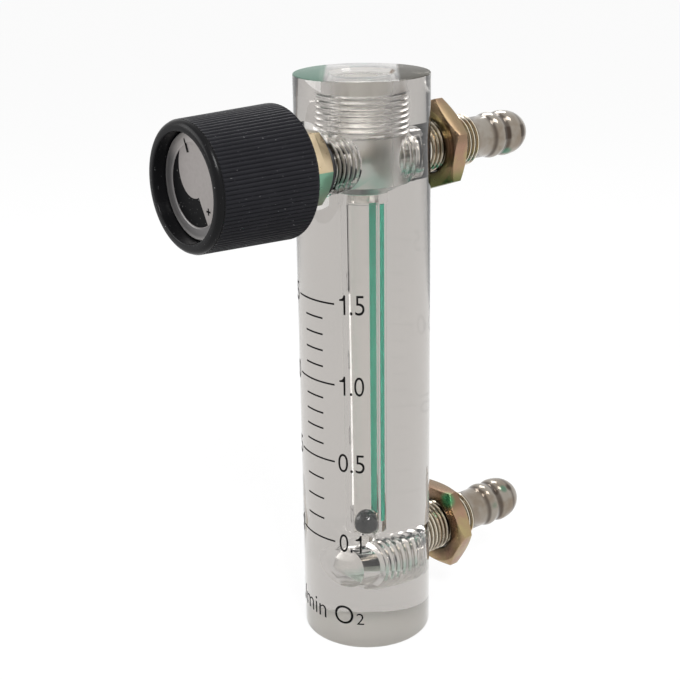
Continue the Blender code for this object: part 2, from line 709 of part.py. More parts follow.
def knob(plastic):
    """The knob: a ribbed skirt with a web, a hub round the brass bush, and a hole for the set screw."""
    shell = solid_from("knob", knob_shell_mesh(), plastic, TO_FRONT, UPPER_PORT_HEIGHT)
    recess = KNOB_RECESS_DIAMETER / 2
    label_recess = turned(
        "label_recess",
        [
            (0, KNOB_RECESS_FLOOR),
            (recess, KNOB_RECESS_FLOOR),
            (recess, KNOB_FRONT_FROM_AXIS + CUT_THROUGH),
            (0, KNOB_FRONT_FROM_AXIS + CUT_THROUGH),
        ],
        PORT_SEGMENTS,
        plastic,
        TO_FRONT,
        UPPER_PORT_HEIGHT,
    )
    inner_rear = knob_radius(KNOB_REAR) - KNOB_RIB_DEPTH - KNOB_SKIRT_WALL
    inner_front = knob_radius(KNOB_WEB_REAR) - KNOB_RIB_DEPTH - KNOB_SKIRT_WALL
    corner = KNOB_SHOULDER_RADIUS
    hollow = turned(
        "knob_hollow",
        [(inner_rear, KNOB_REAR - CUT_THROUGH)]
        + arc(inner_front - corner, KNOB_WEB_REAR - corner, corner, 0, 90, CORNER_STEPS)
        + [
            (HUB_RADIUS, KNOB_WEB_REAR),
            (HUB_RADIUS, KNOB_HUB_REAR),
            (HUB_BORE_RADIUS, KNOB_HUB_REAR),
            (HUB_BORE_RADIUS, KNOB_WEB_REAR),
            (0, KNOB_WEB_REAR),
            (0, KNOB_REAR - CUT_THROUGH),
        ],
        PORT_SEGMENTS,
        plastic,
        TO_FRONT,
        UPPER_PORT_HEIGHT,
    )
    screw_hole = screw_cylinder("screw_hole", SCREW_HOLE_RADIUS, 0, KNOB_REAR_DIAMETER, plastic)
    for cutter in (label_recess, hollow, screw_hole):
        combine(shell, cutter, "DIFFERENCE")
    return shell


def screw_cylinder(name, radius, start, end, material):
    """A cylinder across the knob, towards -X, at the set screw's place."""
    bm = turned_mesh([(0, start), (radius, start), (radius, end), (0, end)], SMALL_SEGMENTS)
    cylinder = solid_from(name, bm, material)
    place = Matrix.Translation((0, -SCREW_FROM_AXIS, UPPER_PORT_HEIGHT))
    cylinder.matrix_world = place @ Matrix.Rotation(math.radians(-90), 4, "Y")
    return cylinder


def knob_set_screw(steel):
    """The socket set screw that holds the knob's bush on the stem."""
    start = STEM_NECK_DIAMETER / 2 + FIT_GAP
    end = start + SCREW_LENGTH
    screw = screw_cylinder("knob_set_screw", SCREW_DIAMETER / 2, start, end, steel)
    socket = solid_from(
        "screw_key_socket",
        prism_mesh(SCREW_KEY_ACROSS_FLATS, end - SCREW_KEY_DEPTH, end + CUT_THROUGH, 0),
        steel,
    )
    socket.matrix_world = screw.matrix_world
    combine(screw, socket, "DIFFERENCE")
    return screw


def knob_bush(brass):
    """The brass bush moulded into the knob's hub."""
    start, end = KNOB_HUB_REAR, KNOB_WEB_REAR - FACE_GAP
    bush = turned(
        "knob_bush",
        [(BUSH_BORE_RADIUS, start), (BUSH_RADIUS, start), (BUSH_RADIUS, end), (BUSH_BORE_RADIUS, end)],
        SMALL_SEGMENTS,
        brass,
        TO_FRONT,
        UPPER_PORT_HEIGHT,
    )
    hole = screw_cylinder("bush_screw_hole", SCREW_HOLE_RADIUS, 0, HUB_RADIUS + CUT_THROUGH, brass)
    combine(bush, hole, "DIFFERENCE")
    return bush


def knob_label(aluminium):
    """The thin metal disc in the knob's recess."""
    radius = KNOB_RECESS_DIAMETER / 2 - FIT_GAP
    start = KNOB_RECESS_FLOOR + FACE_GAP
    end = start + LABEL_THICKNESS
    return turned(
        "knob_label",
        [(0, start), (radius, start), (radius, end - LABEL_EDGE), (radius - LABEL_EDGE, end), (0, end)],
        PORT_SEGMENTS,
        aluminium,
        TO_FRONT,
        UPPER_PORT_HEIGHT,
    )


def port_o_ring(name, rubber, height):
    """The sealing ring in a barb's groove, inside the column's port."""
    middle = (BARB_GROOVE_START + BARB_GROOVE_END) / 2
    section = PORT_SEAL_SECTION / 2
    return ring(name, PORT_SEAL_RADIUS, section, middle, PORT_SEGMENTS, rubber, TO_BACK, height)


def bonnet_o_ring(rubber):
    """The sealing ring under the bonnet's hexagon."""
    section = BONNET_SEAL_SECTION / 2
    along = (SPOT_FACE_FROM_AXIS - SEAL_POCKET_DEPTH + BONNET_HEX_START) / 2
    return ring(
        "bonnet_o_ring", PORT_HOLE_RADIUS + section, section, along, PORT_SEGMENTS,
        rubber, TO_FRONT, UPPER_PORT_HEIGHT,
    )


def main():
    clear_scene()
    acrylic = finish("clear_acrylic", (0.80, 0.79, 0.77), 0.05, transmission=0.9, alpha=0.35)
    plug_acrylic = finish("plug_acrylic", (0.84, 0.83, 0.80), 0.08, transmission=0.9, alpha=0.35)
    black_plastic = finish("black_plastic", (0.020, 0.020, 0.022), 0.45)
    label_metal = finish("label_metal", (0.42, 0.41, 0.40), 0.35, metallic=0.9)
    brass = finish("turned_brass", (0.58, 0.46, 0.26), 0.30, metallic=1.0)
    nickel = finish("nickel_plate", (0.50, 0.46, 0.42), 0.22, metallic=1.0)
    zinc = finish("yellow_zinc", (0.44, 0.36, 0.18), 0.30, metallic=1.0)
    steel = finish("bright_steel", (0.30, 0.31, 0.32), 0.20, metallic=1.0)
    black_rubber = finish("black_rubber", (0.020, 0.020, 0.020), 0.60)
    clear_rubber = finish("clear_rubber", (0.55, 0.57, 0.55), 0.40, alpha=0.7)
    soft_polymer = finish("soft_polymer", (0.80, 0.80, 0.78), 0.40)
    column(acrylic)
    top_plug(plug_acrylic)
    float_ball(steel)
    float_stop(plug_acrylic)
    hose_barb("outlet_barb", nickel, UPPER_PORT_HEIGHT, seat_pocket=True)
    hose_barb("inlet_barb", nickel, LOWER_PORT_HEIGHT, seat_pocket=False)
    port_o_ring("outlet_o_ring", black_rubber, UPPER_PORT_HEIGHT)
    port_o_ring("inlet_o_ring", clear_rubber, LOWER_PORT_HEIGHT)
    panel_nut("outlet_panel_nut", zinc, UPPER_PORT_HEIGHT, OUTLET_NUT_TURN, OUTLET_NUT_FROM_COLUMN)
    panel_nut("inlet_panel_nut", zinc, LOWER_PORT_HEIGHT, INLET_NUT_TURN, INLET_NUT_FROM_COLUMN)
    valve_seat(soft_polymer)
    valve_bonnet(brass)
    bonnet_o_ring(black_rubber)
    stem_retainer(brass)
    valve_stem(brass)
    stem_o_ring(black_rubber)
    knob(black_plastic)
    knob_bush(brass)
    knob_set_screw(steel)
    knob_label(label_metal)


main()
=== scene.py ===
"""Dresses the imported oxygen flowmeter.

A clear threaded column with its ball and scale, a needle valve with its knob, barbs and nuts.
"""

import math

import bpy
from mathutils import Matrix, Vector


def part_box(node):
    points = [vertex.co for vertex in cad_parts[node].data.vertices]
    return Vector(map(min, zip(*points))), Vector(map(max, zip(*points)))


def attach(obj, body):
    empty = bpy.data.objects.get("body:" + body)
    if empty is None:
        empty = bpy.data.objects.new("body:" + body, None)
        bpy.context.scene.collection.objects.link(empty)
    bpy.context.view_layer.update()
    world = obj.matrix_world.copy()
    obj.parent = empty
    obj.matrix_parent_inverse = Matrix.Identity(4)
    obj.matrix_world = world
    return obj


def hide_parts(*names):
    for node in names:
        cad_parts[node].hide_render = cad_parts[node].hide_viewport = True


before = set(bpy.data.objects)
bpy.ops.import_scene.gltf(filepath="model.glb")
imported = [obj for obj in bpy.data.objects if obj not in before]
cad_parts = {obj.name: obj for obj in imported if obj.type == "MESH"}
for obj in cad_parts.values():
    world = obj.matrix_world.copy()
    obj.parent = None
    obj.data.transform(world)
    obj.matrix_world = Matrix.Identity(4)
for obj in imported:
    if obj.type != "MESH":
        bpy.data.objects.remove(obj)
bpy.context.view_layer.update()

MM = 0.001
IN_MM = 1000.0
ACRYLIC_IOR = 1.49

# Sizes shared with the solids, in millimetres
COLUMN_RADIUS = 12.46
COLUMN_HEIGHT = 110.0
LOWER_PORT = 14.5
UPPER_PORT = 94.5
CHAMBER_RADIUS = 5.6
PLUG_RADIUS = 5.4
THREAD_PITCH = 1.0
PORT_CREST = 5.0
PORT_ROOT = 4.55
HOLE_CREST = 5.12
HOLE_ROOT = 5.45
SPOT_FACE = 11.5
SEAL_POCKET_RADIUS = 4.97
BARB_NECK = 4.05
BALL_DIAMETER = 4.7625
KNOB_FRONT = 38.5
KNOB_REAR = 18.4
KNOB_REAR_RADIUS = 12.03
KNOB_FRONT_RADIUS = 11.43
RIBS = 96
STEPS_PER_RIB = 6
RIB_DEPTH = 0.21

# The printing lies just off the column, and strays to the right towards its top
PRINT_RADIUS = 12.47
PRINT_LEAN = 0.065
PRINT_LEAN_FROM = 18.0
NUMBER_HEIGHT = 3.7
FIGURE_ONE_WIDTH = 0.31 * NUMBER_HEIGHT

# The height that parts the lower port's fittings from the upper port's
HALF_WAY = 54.0

# The distances from a port's axis where the shade of its thread's roots starts and is full
ROOT_SHADE = (4.95, 4.66)

WHITE = (1, 1, 1, 1)
SEEN_RAYS = ("Is Camera Ray", "Is Glossy Ray", "Is Transmission Ray")

# The turn that points a form of revolution out of the column's front or back
FRONT = math.radians(90)
BACK = math.radians(-90)


def deselect():
    """Leaves edit mode and selects nothing."""
    if bpy.context.object and bpy.context.object.mode != "OBJECT":
        bpy.ops.object.mode_set(mode="OBJECT")
    bpy.ops.object.select_all(action="DESELECT")


def choose(piece):
    """Selects one piece only and makes it the active one."""
    deselect()
    piece.select_set(True)
    bpy.context.view_layer.objects.active = piece


def place(piece, turn=0.0, height=0.0, about=0.0):
    """Turns a piece about X and then about Z, lifts it, and puts that in its mesh."""
    choose(piece)
    piece.rotation_euler = (turn, 0, about)
    piece.location = (0, 0, height * MM)
    bpy.ops.object.transform_apply(location=True, rotation=True, scale=True)


def smooth(piece, degrees):
    """Shades a piece smooth, apart from edges sharper than an angle."""
    choose(piece)
    bpy.ops.object.shade_smooth_by_angle(angle=math.radians(degrees), keep_sharp_edges=False)


def turned(name, outline, steps=128, sweep=360.0):
    """A form of revolution about Z from (radius, along) points in millimetres."""
    deselect()
    bpy.ops.mesh.primitive_plane_add(size=MM, location=(0, 0, 0))
    piece = bpy.context.object
    piece.name = name
    bpy.ops.object.mode_set(mode="EDIT")
    bpy.ops.mesh.select_all(action="SELECT")
    bpy.ops.mesh.merge(type="CENTER")
    radius, along = outline[0]
    bpy.ops.transform.translate(value=(radius * MM, 0, along * MM))
    for next_radius, next_along in outline[1:]:
        step = ((next_radius - radius) * MM, 0, (next_along - along) * MM)
        bpy.ops.mesh.extrude_region_move(TRANSFORM_OT_translate={"value": step})
        radius, along = next_radius, next_along
    bpy.ops.mesh.select_all(action="SELECT")
    bpy.ops.mesh.remove_doubles(threshold=1e-7)
    bpy.ops.mesh.spin(steps=steps, angle=math.radians(sweep), center=(0, 0, 0), axis=(0, 0, 1))
    bpy.ops.mesh.select_all(action="SELECT")
    bpy.ops.mesh.remove_doubles(threshold=2e-6)
    bpy.ops.mesh.normals_make_consistent(inside=False)
    bpy.ops.object.mode_set(mode="OBJECT")
    return piece


def hexagon(name, across_flats, start, end, turn):
    """A hexagon bar along Z, its sizes in millimetres."""
    deselect()
    bpy.ops.mesh.primitive_cylinder_add(
        vertices=6,
        radius=across_flats / 2 / math.cos(math.pi / 6) * MM,
        depth=(end - start) * MM,
        location=(0, 0, (start + end) / 2 * MM),
        rotation=(0, 0, turn),
    )
    piece = bpy.context.object
    piece.name = name
    bpy.ops.object.transform_apply(location=True, rotation=True, scale=True)
    return piece


def combine(piece, other, operation):
    """Cuts a piece by another one, which is used up."""
    choose(piece)
    step = piece.modifiers.new(other.name, "BOOLEAN")
    step.operation = operation
    step.solver = "EXACT"
    step.material_mode = "TRANSFER"
    step.object = other
    bpy.ops.object.modifier_apply(modifier=step.name)
    bpy.data.objects.remove(other, do_unlink=True)


def rounded(piece, width, segments):
    """Rounds a piece's sharp edges."""
    choose(piece)
    step = piece.modifiers.new("edges", "BEVEL")
    step.width = width * MM
    step.segments = segments
    step.limit_method = "ANGLE"
    step.angle_limit = math.radians(25)
    bpy.ops.object.modifier_apply(modifier=step.name)


def thread(start, end, low, high, pitch=THREAD_PITCH):
    """The outline of as many thread turns as fit between two distances.

    Each turn goes from the radius low up to the radius high and back. Its crest and each half of
    its root take the share flat of the pitch.
    """
    flat = 0.14
    turns = int((end - start) / pitch + 0.001)
    points = []
    for k in range(turns):
        foot = start + k * pitch
        points += [
            (low, foot + pitch * flat),
            (high, foot + pitch * (0.5 - flat / 2)),
            (high, foot + pitch * (0.5 + flat / 2)),
            (low, foot + pitch * (1 - flat)),
        ]
    return points


def curve(radius, along, size, first, last, steps):
    """Points on a round corner about (radius, along), from one angle to another."""
    points = []
    for k in range(steps + 1):
        angle = math.radians(first + (last - first) * k / steps)
        points.append((radius + size * math.cos(angle), along + size * math.sin(angle)))
    return points


class Value:
    """A node's output socket. Arithmetic on it adds the shader nodes that do it."""

    def __init__(self, finish, socket):
        self.finish = finish
        self.socket = socket

    def math(self, operation, *values):
        numbered = dict(enumerate(values))
        return self.finish.node("ShaderNodeMath", {"operation": operation}, numbered)

    def __add__(self, other):
        return self.math("ADD", self, other)

    def __radd__(self, other):
        return self.math("ADD", other, self)

    def __sub__(self, other):
        return self.math("SUBTRACT", self, other)

    def __rsub__(self, other):
        return self.math("SUBTRACT", other, self)

    def __mul__(self, other):
        return self.math("MULTIPLY", self, other)

    def __rmul__(self, other):
        return self.math("MULTIPLY", other, self)

    def __truediv__(self, other):
        return self.math("DIVIDE", self, other)

    def __pow__(self, other):
        return self.math("POWER", self, other)

    def __gt__(self, other):
        return self.math("GREATER_THAN", self, other)

    def __lt__(self, other):
        return self.math("LESS_THAN", self, other)

    def between(self, low, high):
        """Rises smoothly from 0 at low to 1 at high."""
        return self.finish.node(
            "ShaderNodeMapRange",
            {"interpolation_type": "SMOOTHSTEP"},
            {0: self, 1: low, 2: high, 3: 0.0, 4: 1.0},
        )


class Finish:
    """A Principled material and the nodes that feed it."""

    def __init__(self, name, colour, roughness, metallic=0.0, **fixed):
        self.material = bpy.data.materials.new(name)
        self.material.use_nodes = True
        self.tree = self.material.node_tree
        self.shader = self.tree.nodes["Principled BSDF"]
        self.feed("Base Color", (*colour, 1))
        self.feed("Roughness", roughness)
        self.feed("Metallic", metallic)
        for socket, value in fixed.items():
            self.feed(socket.replace("_", " "), value)

    def feed(self, socket, value):
        """Sets one of the shader's inputs to a number, a colour or a Value."""
        self.join(self.shader.inputs[socket], value)

    def join(self, socket, value):
        if isinstance(value, Value):
            self.tree.links.new(value.socket, socket)
        else:
            socket.default_value = value

    def node(self, kind, settings, values, output=0):
        """Adds any node with its settings and inputs, and gives one of its outputs."""
        node = self.tree.nodes.new(kind)
        for setting, value in settings.items():
            setattr(node, setting, value)
        for socket, value in values.items():
            self.join(node.inputs[socket], value)
        return Value(self, node.outputs[output])

    def point(self):
        return self.node("ShaderNodeTexCoord", {}, {}, "Object")

    def axes(self):
        """The object's X, Y and Z in millimetres."""
        point = self.point()
        return [self.node("ShaderNodeSeparateXYZ", {}, {0: point}, k) * IN_MM for k in range(3)]

    def near(self, spot, reach):
        """1 at a place given in millimetres, falling to 0 at the distance reach."""
        there = tuple(c * MM for c in spot)
        values = {0: self.point(), 1: there}
        gap = self.node("ShaderNodeVectorMath", {"operation": "DISTANCE"}, values, 1)
        return (gap * IN_MM).between(reach, reach * 0.35)

    def from_port(self, x, z):
        """The distance from the nearer port's axis, and the height above it."""
        height = z - (LOWER_PORT + (z > HALF_WAY) * (UPPER_PORT - LOWER_PORT))
        return (x * x + height * height) ** 0.5, height

    def noise(self, scale, detail, roughness=0.55, stretch=(1, 1, 1)):
        """Noise from 0 to 1, its scale in waves to the metre."""
        spread = self.node("ShaderNodeMapping", {}, {"Vector": self.point(), "Scale": stretch})
        values = {"Vector": spread, "Scale": scale, "Detail": detail, "Roughness": roughness}
        return self.node("ShaderNodeTexNoise", {}, values, "Fac")

    def mix(self, share, first, second):
        """A colour between two colours."""
        sockets = {0: share, 6: self.colour(first), 7: self.colour(second)}
        return self.node("ShaderNodeMix", {"data_type": "RGBA"}, sockets, 2)

    def colour(self, value):
        return value if isinstance(value, Value) else (*value, 1)

    def cover(self, share, colour):
        """Lays a matt colour over the finish, by a share that may change over the surface."""
        output = self.tree.nodes["Material Output"].inputs["Surface"]
        below = Value(self, output.links[0].from_socket)
        matt = self.node("ShaderNodeBsdfDiffuse", {}, {"Color": (*colour, 1)})
        both = self.node("ShaderNodeMixShader", {}, {0: share, 1: below, 2: matt})
        self.tree.links.new(both.socket, output)

    def bump(self, height, distance, strength):
        """Roughens the look of the surface, by a distance in millimetres."""
        values = {"Height": height, "Distance": distance * MM, "Strength": strength}
        self.feed("Normal", self.node("ShaderNodeBump", {}, values))


def clear_acrylic():
    """The column's polished outside, a little grey, with faint smears, fine scratches and painted
    reflections on its top face.
    """
    clean, smeared = (0.492, 0.466, 0.44), (0.465, 0.445, 0.422)
    finish = Finish("clear_acrylic", clean, 0.015, Transmission_Weight=1.0, IOR=ACRYLIC_IOR)
    x, y, z = finish.axes()
    smear = finish.noise(60, 3, 0.6, (1, 1, 0.4)).between(0.35, 0.75)
    finish.feed("Base Color", finish.mix(smear, clean, smeared))
    # Painted reflections on the two ends of the top face: teal to the left of the viewpoint and
    # grey to the right
    sideways = x * 0.63 + y * 0.78
    starts, is_full, strength = 6.2, 7.0, 0.62
    teal, grey = (0.085, 0.17, 0.127), (0.043, 0.038, 0.025)
    top = (z > COLUMN_HEIGHT - 0.15) * strength
    finish.cover(top * sideways.between(-starts, -is_full), teal)
    finish.cover(top * sideways.between(starts, is_full), grey)
    scratch = finish.noise(900, 4, 0.6, (1, 1, 0.08)).between(0.62, 0.8)
    finish.feed("Roughness", 0.012 + scratch * 0.02)
    return finish.material


def sawn_acrylic():
    """The column's sawn, frosted bottom face."""
    finish = Finish("sawn_acrylic", (0.98, 0.96, 0.93), 0.5)
    finish.feed("Roughness", 0.45 + finish.noise(1500, 3) * 0.1)
    return finish.material


def bored_acrylic():
    """The walls of the drilled passages: hazy in the tapped chamber, with painted green
    reflections at the bottoms.
    """
    wall, painted_port_green, painted_floor_green = (0.99, 0.98, 0.96), (0.42, 0.8, 0.68), (0.22, 0.7, 0.52)
    chamber_foot, past_port = 88.4, 5.7
    # Squares of distances from the column's axis: past the chamber, and its floor's painted green
    # reflection
    past_chamber, painted_green_starts, painted_green_full = 33.0, 27.0, 13.0
    finish = Finish("bored_acrylic", wall, 0.06, Transmission_Weight=1.0, IOR=ACRYLIC_IOR)
    x, y, z = finish.axes()
    distance, height = finish.from_port(x, z)
    from_axis_squared = x * x + y * y
    chamber = (z > chamber_foot) * (from_axis_squared < past_chamber)
    # Painted green reflection low in each port's blind end
    port_bottom = height.between(-1.8, -4.6) * (distance < past_port)
    base = finish.mix(port_bottom * 0.8, wall, painted_port_green)
    # Painted green reflection on the chamber's floor, towards its middle
    inwards = from_axis_squared.between(painted_green_starts, painted_green_full)
    chamber_floor = chamber * inwards * z.between(92.0, 89.6)
    base = finish.mix(chamber_floor * 0.85, base, painted_floor_green)
    finish.feed("Base Color", base)
    wear = finish.noise(420, 3, 0.6)
    finish.feed("Roughness", 0.05 + wear * 0.08 + chamber * (0.22 + wear * 0.2))
    finish.bump(finish.noise(2600, 2, 0.5, (0.3, 0.3, 1)), 0.01, 0.35)
    return finish.material


def plug_acrylic():
    """The plug's turned acrylic, hazier than the column's."""
    finish = Finish(
        "plug_acrylic", (1.0, 0.99, 0.965), 0.05, Transmission_Weight=1.0, IOR=ACRYLIC_IOR
    )
    finish.feed("Roughness", 0.16 + finish.noise(500, 3) * 0.16)
    return finish.material


def nickel_plate():
    """Bright nickel over brass: warm grey, with painted shade in the roots and hollows, painted
    dark reflections in the valleys, painted highlights on the thread crests, and green casts.
    """
    plain, warm = (0.33, 0.3, 0.26), (0.25, 0.205, 0.16)
    reflected_dark, neck_shade, green = (0.045, 0.03, 0.02), (0.06, 0.045, 0.036), (0.06, 0.2, 0.13)
    finish = Finish("nickel_plate", plain, 0.2, 1.0)
    x, y, z = finish.axes()
    distance, height = finish.from_port(x, z)
    base = finish.mix(finish.noise(170, 3, 0.6).between(0.4, 0.65), plain, warm)
    # Painted dark reflections in the valleys between the ridges: square on the upper barb, round
    # on the lower
    dark_reflections = y.between(32.1, 32.5) * y.between(34.2, 33.8)
    dark_reflections = dark_reflections + y.between(36.4, 36.8) * y.between(38.2, 37.8)
    dark_reflections = dark_reflections * height.between(-0.7, -0.2) * height.between(2.2, 1.7) * (z > HALF_WAY)
    base = finish.mix(dark_reflections * 0.85, base, reflected_dark)
    # Round painted dark reflections on the lower barb
    for spot in ((2.6, 33.2, 17.9), (2.5, 37.0, 17.6)):
        base = finish.mix(finish.near(spot, 1.1) * 0.85, base, reflected_dark)
    # Painted shade in the valley between the ridges, where the radius is small
    hollow = y.between(29.0, 30.2) * distance.between(4.36, 4.14) * y.between(38.0, 37.0)
    base = finish.mix(hollow * 0.75, base, neck_shade)
    # The thread's turns, with painted highlights on their crests and painted shade in their roots,
    # brighter inside the column than outside
    root = distance.between(*ROOT_SHADE)
    painted_turns_outside = finish.mix(root, (0.82, 0.76, 0.65), (0.21, 0.18, 0.135))
    painted_turns_inside = finish.mix(root, (0.95, 0.93, 0.9), (0.45, 0.42, 0.38))
    base = finish.mix(y.between(25.6, 25.2), base, painted_turns_outside)
    base = finish.mix(y.between(12.7, 12.2), base, painted_turns_inside)
    green_spots = (((3, 34, 91.2), 1.5), ((3.4, 31.5, 15.6), 1.3), ((2.6, 35.4, 17.8), 1.2))
    for spot, reach in green_spots:
        base = finish.mix(finish.near(spot, reach) * 0.7, base, green)
    finish.feed("Base Color", base)
    finish.feed("Roughness", 0.09 + finish.noise(700, 3) * 0.1)
    finish.bump(finish.noise(3000, 2, 0.5, (0.2, 1, 0.2)), 0.01, 0.4)
    return finish.material


def yellow_zinc():
    """Yellow passivated zinc with pink tones and a green cast, painted shade towards the hole, and
    painted reflections in olive, rosy and brown that change over the faces.
    """
    yellow, pink = (0.4, 0.33, 0.16), (0.36, 0.22, 0.155)
    finish = Finish("yellow_zinc", yellow, 0.26, 1.0)
    x, _, z = finish.axes()
    distance, height = finish.from_port(x, z)
    base = finish.mix(finish.noise(120, 3, 0.6).between(0.36, 0.62), yellow, pink)
    upper = z > HALF_WAY
    # Painted reflections laid by where the faces lie: olive low on the upper nut, rosy high on its
    # side faces, brown high on the lower nut
    olive_reflection = upper * height.between(-2.8, -6.2) * 0.85
    rosy_reflection = upper * height.between(0.5, 2.5) * distance.between(6.85, 7.0) * 0.75
    brown = (1.0 - upper) * height.between(4.5, 6.4) * 0.8
    # Painted shade darkening the faces towards the hole
    hole_shade = distance.between(7.4, 5.4) * 0.8
    green = finish.near((4.2, 17.6, 21.3), 2.2) * 0.85
    for share, cast in (
        (olive_reflection, (0.1, 0.125, 0.045)),
        (rosy_reflection, (0.24, 0.165, 0.105)),
        (brown, (0.19, 0.12, 0.08)),
        (hole_shade, (0.045, 0.037, 0.018)),
        (green, (0.05, 0.3, 0.13)),
    ):
        base = finish.mix(share, base, cast)
    finish.feed("Base Color", base)
    finish.feed("Roughness", 0.18 + finish.noise(900, 3) * 0.14)
    finish.bump(finish.noise(2200, 3, 0.5), 0.012, 0.35)
    return finish.material


def turned_brass():
    """Pale turned brass, with painted shade high on the hexagon, a painted green reflection on its
    lower flat, and bright painted highlights on the thread in its port.
    """
    pale, dull, shadow = (0.6, 0.49, 0.33), (0.47, 0.37, 0.23), (0.17, 0.135, 0.085)
    low_edge_reflection, lower_flat_reflection = (0.3, 0.33, 0.25), (0.2, 0.38, 0.27)
    outside_from, shadow_to = -11.7, -13.6
    finish = Finish("turned_brass", pale, 0.28, 1.0)
    x, y, z = finish.axes()
    distance, height = finish.from_port(x, z)
    base = finish.mix(finish.noise(160, 3, 0.6).between(0.35, 0.7), pale, dull)
    outside = y.between(outside_from, outside_from - 0.05)
    shade = outside * (y > shadow_to) * height.between(1.0, 5.0)
    base = finish.mix(shade * 0.7, base, shadow)
    # Painted green reflection on the hexagon's lower edge and lower flat
    low = outside * height.between(0.3, 0.2)
    green = finish.mix(height.between(-6.6, -2.4), low_edge_reflection, lower_flat_reflection)
    base = finish.mix(low, base, green)
    # Painted highlights on the port thread's crests, painted shade in its roots and a painted
    # green reflection on its lower half
    root = distance.between(*ROOT_SHADE)
    turns = finish.mix(root, (0.95, 0.94, 0.91), (0.5, 0.48, 0.43))
    turns = finish.mix(height.between(-0.5, -3.5) * 0.6, turns, (0.35, 0.75, 0.6))
    base = finish.mix(1.0 - outside, base, turns)
    finish.feed("Base Color", base)
    finish.feed("Roughness", 0.22 + finish.noise(800, 3) * 0.18)
    finish.bump(finish.noise(2600, 2, 0.5, (0.2, 1, 0.2)), 0.01, 0.4)
    return finish.material


def bright_steel():
    """The ball's and the set screw's polished steel."""
    finish = Finish("bright_steel", (0.075, 0.08, 0.085), 0.16, 1.0)
    finish.feed("Roughness", 0.12 + finish.noise(900, 2) * 0.1)
    return finish.material


def black_rubber():
    """Moulded black rubber."""
    finish = Finish("black_rubber", (0.012, 0.012, 0.013), 0.5, Specular_IOR_Level=0.35)
    finish.feed("Roughness", 0.42 + finish.noise(1500, 3) * 0.2)
    finish.bump(finish.noise(4000, 2), 0.01, 0.4)
    return finish.material


def clear_rubber():
    """The lower port's translucent seal."""
    finish = Finish("clear_rubber", (0.62, 0.64, 0.62), 0.35, Transmission_Weight=0.6, IOR=1.41)
    finish.feed("Roughness", 0.3 + finish.noise(1500, 3) * 0.2)
    return finish.material


def soft_polymer():
    """The valve seat's white polymer."""
    finish = Finish("soft_polymer", (0.8, 0.8, 0.77), 0.5)
    finish.feed("Roughness", 0.42 + finish.noise(1500, 3) * 0.2)
    return finish.material


def black_plastic():
    """Black moulding, glossier on the rim, with a few light specks of dust."""
    black, worn = (0.0085, 0.0085, 0.0105), (0.0115, 0.0115, 0.014)
    rim_black, dust_grey = (0.005, 0.005, 0.0055), (0.3, 0.3, 0.31)
    rim_radius, rim_rear = 10.75, 37.25
    finish = Finish("black_plastic", black, 0.42, Specular_IOR_Level=0.09)
    x, y, z = finish.axes()
    distance, _ = finish.from_port(x, z)
    side = (distance > rim_radius) * (y > -rim_rear)
    dust = finish.noise(2400, 2, 0.6).between(0.715, 0.75)
    patch = finish.noise(180, 2, 0.5).between(0.45, 0.7)
    base = finish.mix(side, rim_black, finish.mix(patch * 0.5, black, worn))
    finish.feed("Base Color", finish.mix(dust * 0.6, base, dust_grey))
    finish.feed("Roughness", 0.16 + side * 0.2 + finish.noise(1200, 3) * 0.16)
    finish.bump(finish.noise(5000, 3), 0.012, 0.5)
    return finish.material


def label_metal():
    """The knob's silver disc with a black wedge that widens anticlockwise round it, and painted
    light on its border's top.
    """
    finish = Finish("label_metal", (0.33, 0.31, 0.3), 0.38, 0.7, Specular_IOR_Level=0.05)
    x, _, z = finish.axes()
    radius, up = finish.from_port(x, z)
    turn = finish.node(
        "ShaderNodeMath", {"operation": "ARCTAN2"}, {0: x * -1.0, 1: up * -1.0}
    )
    clockwise = turn * (180 / math.pi) + 180.0
    # How far round the wedge a point is, from the thin end to the wide end
    thin_end, sweep = 324.0, 174.0
    share = (thin_end - clockwise) / sweep
    faded = finish.node("ShaderNodeMath", {"operation": "MAXIMUM"}, {0: 1.0 - share, 1: 0.0})
    wide_end_radius, rise, bend, wedge_edge, border_edge = 2.1, 5.1, 2.4, 7.05, 7.15
    inner = wide_end_radius + rise * faded**bend
    wedge = (radius > inner) * (radius < wedge_edge) * (share > 0.0) * (share < 1.0)
    grain = finish.noise(1400, 3, 0.6)
    speck = finish.noise(2600, 2, 0.6).between(0.7, 0.74)
    silver = finish.mix(grain, (0.3, 0.28, 0.27), (0.25, 0.232, 0.225))
    # The border is darker inside than at its edge, and painted light makes it bright towards the
    # top
    border = finish.mix(radius.between(8.3, 9.1), (0.15, 0.145, 0.145), (0.3, 0.29, 0.285))
    border = finish.mix(up.between(3.0, 6.5), border, (0.33, 0.31, 0.3))
    silver = finish.mix(radius > border_edge, silver, border)
    black = finish.mix(speck * 0.5, (0.002, 0.002, 0.0025), (0.35, 0.34, 0.33))
    finish.feed("Base Color", finish.mix(wedge, silver, black))
    finish.feed("Metallic", 0.7 * (1.0 - wedge))
    finish.feed("Roughness", 0.34 + grain * 0.12)
    return finish.material


def printing_ink():
    """The scale's and the label's black ink."""
    finish = Finish("printing_ink", (0.003, 0.003, 0.003), 0.55, Specular_IOR_Level=0.06)
    finish.feed("Roughness", 0.5 + finish.noise(2500, 2) * 0.15)
    return finish.material


def teal_stripe():
    """The two teal lines down the bore."""
    finish = Finish("teal_stripe", (0.08, 0.66, 0.45), 0.5)
    fade = finish.noise(300, 2)
    finish.feed("Base Color", finish.mix(fade, (0.05, 0.58, 0.39), (0.1, 0.7, 0.49)))
    return finish.material


def grey_line():
    """The thin grey line high on the bore's left."""
    finish = Finish("grey_line", (0.12, 0.115, 0.11), 0.5)
    finish.feed("Roughness", 0.45 + finish.noise(800, 2) * 0.1)
    return finish.material


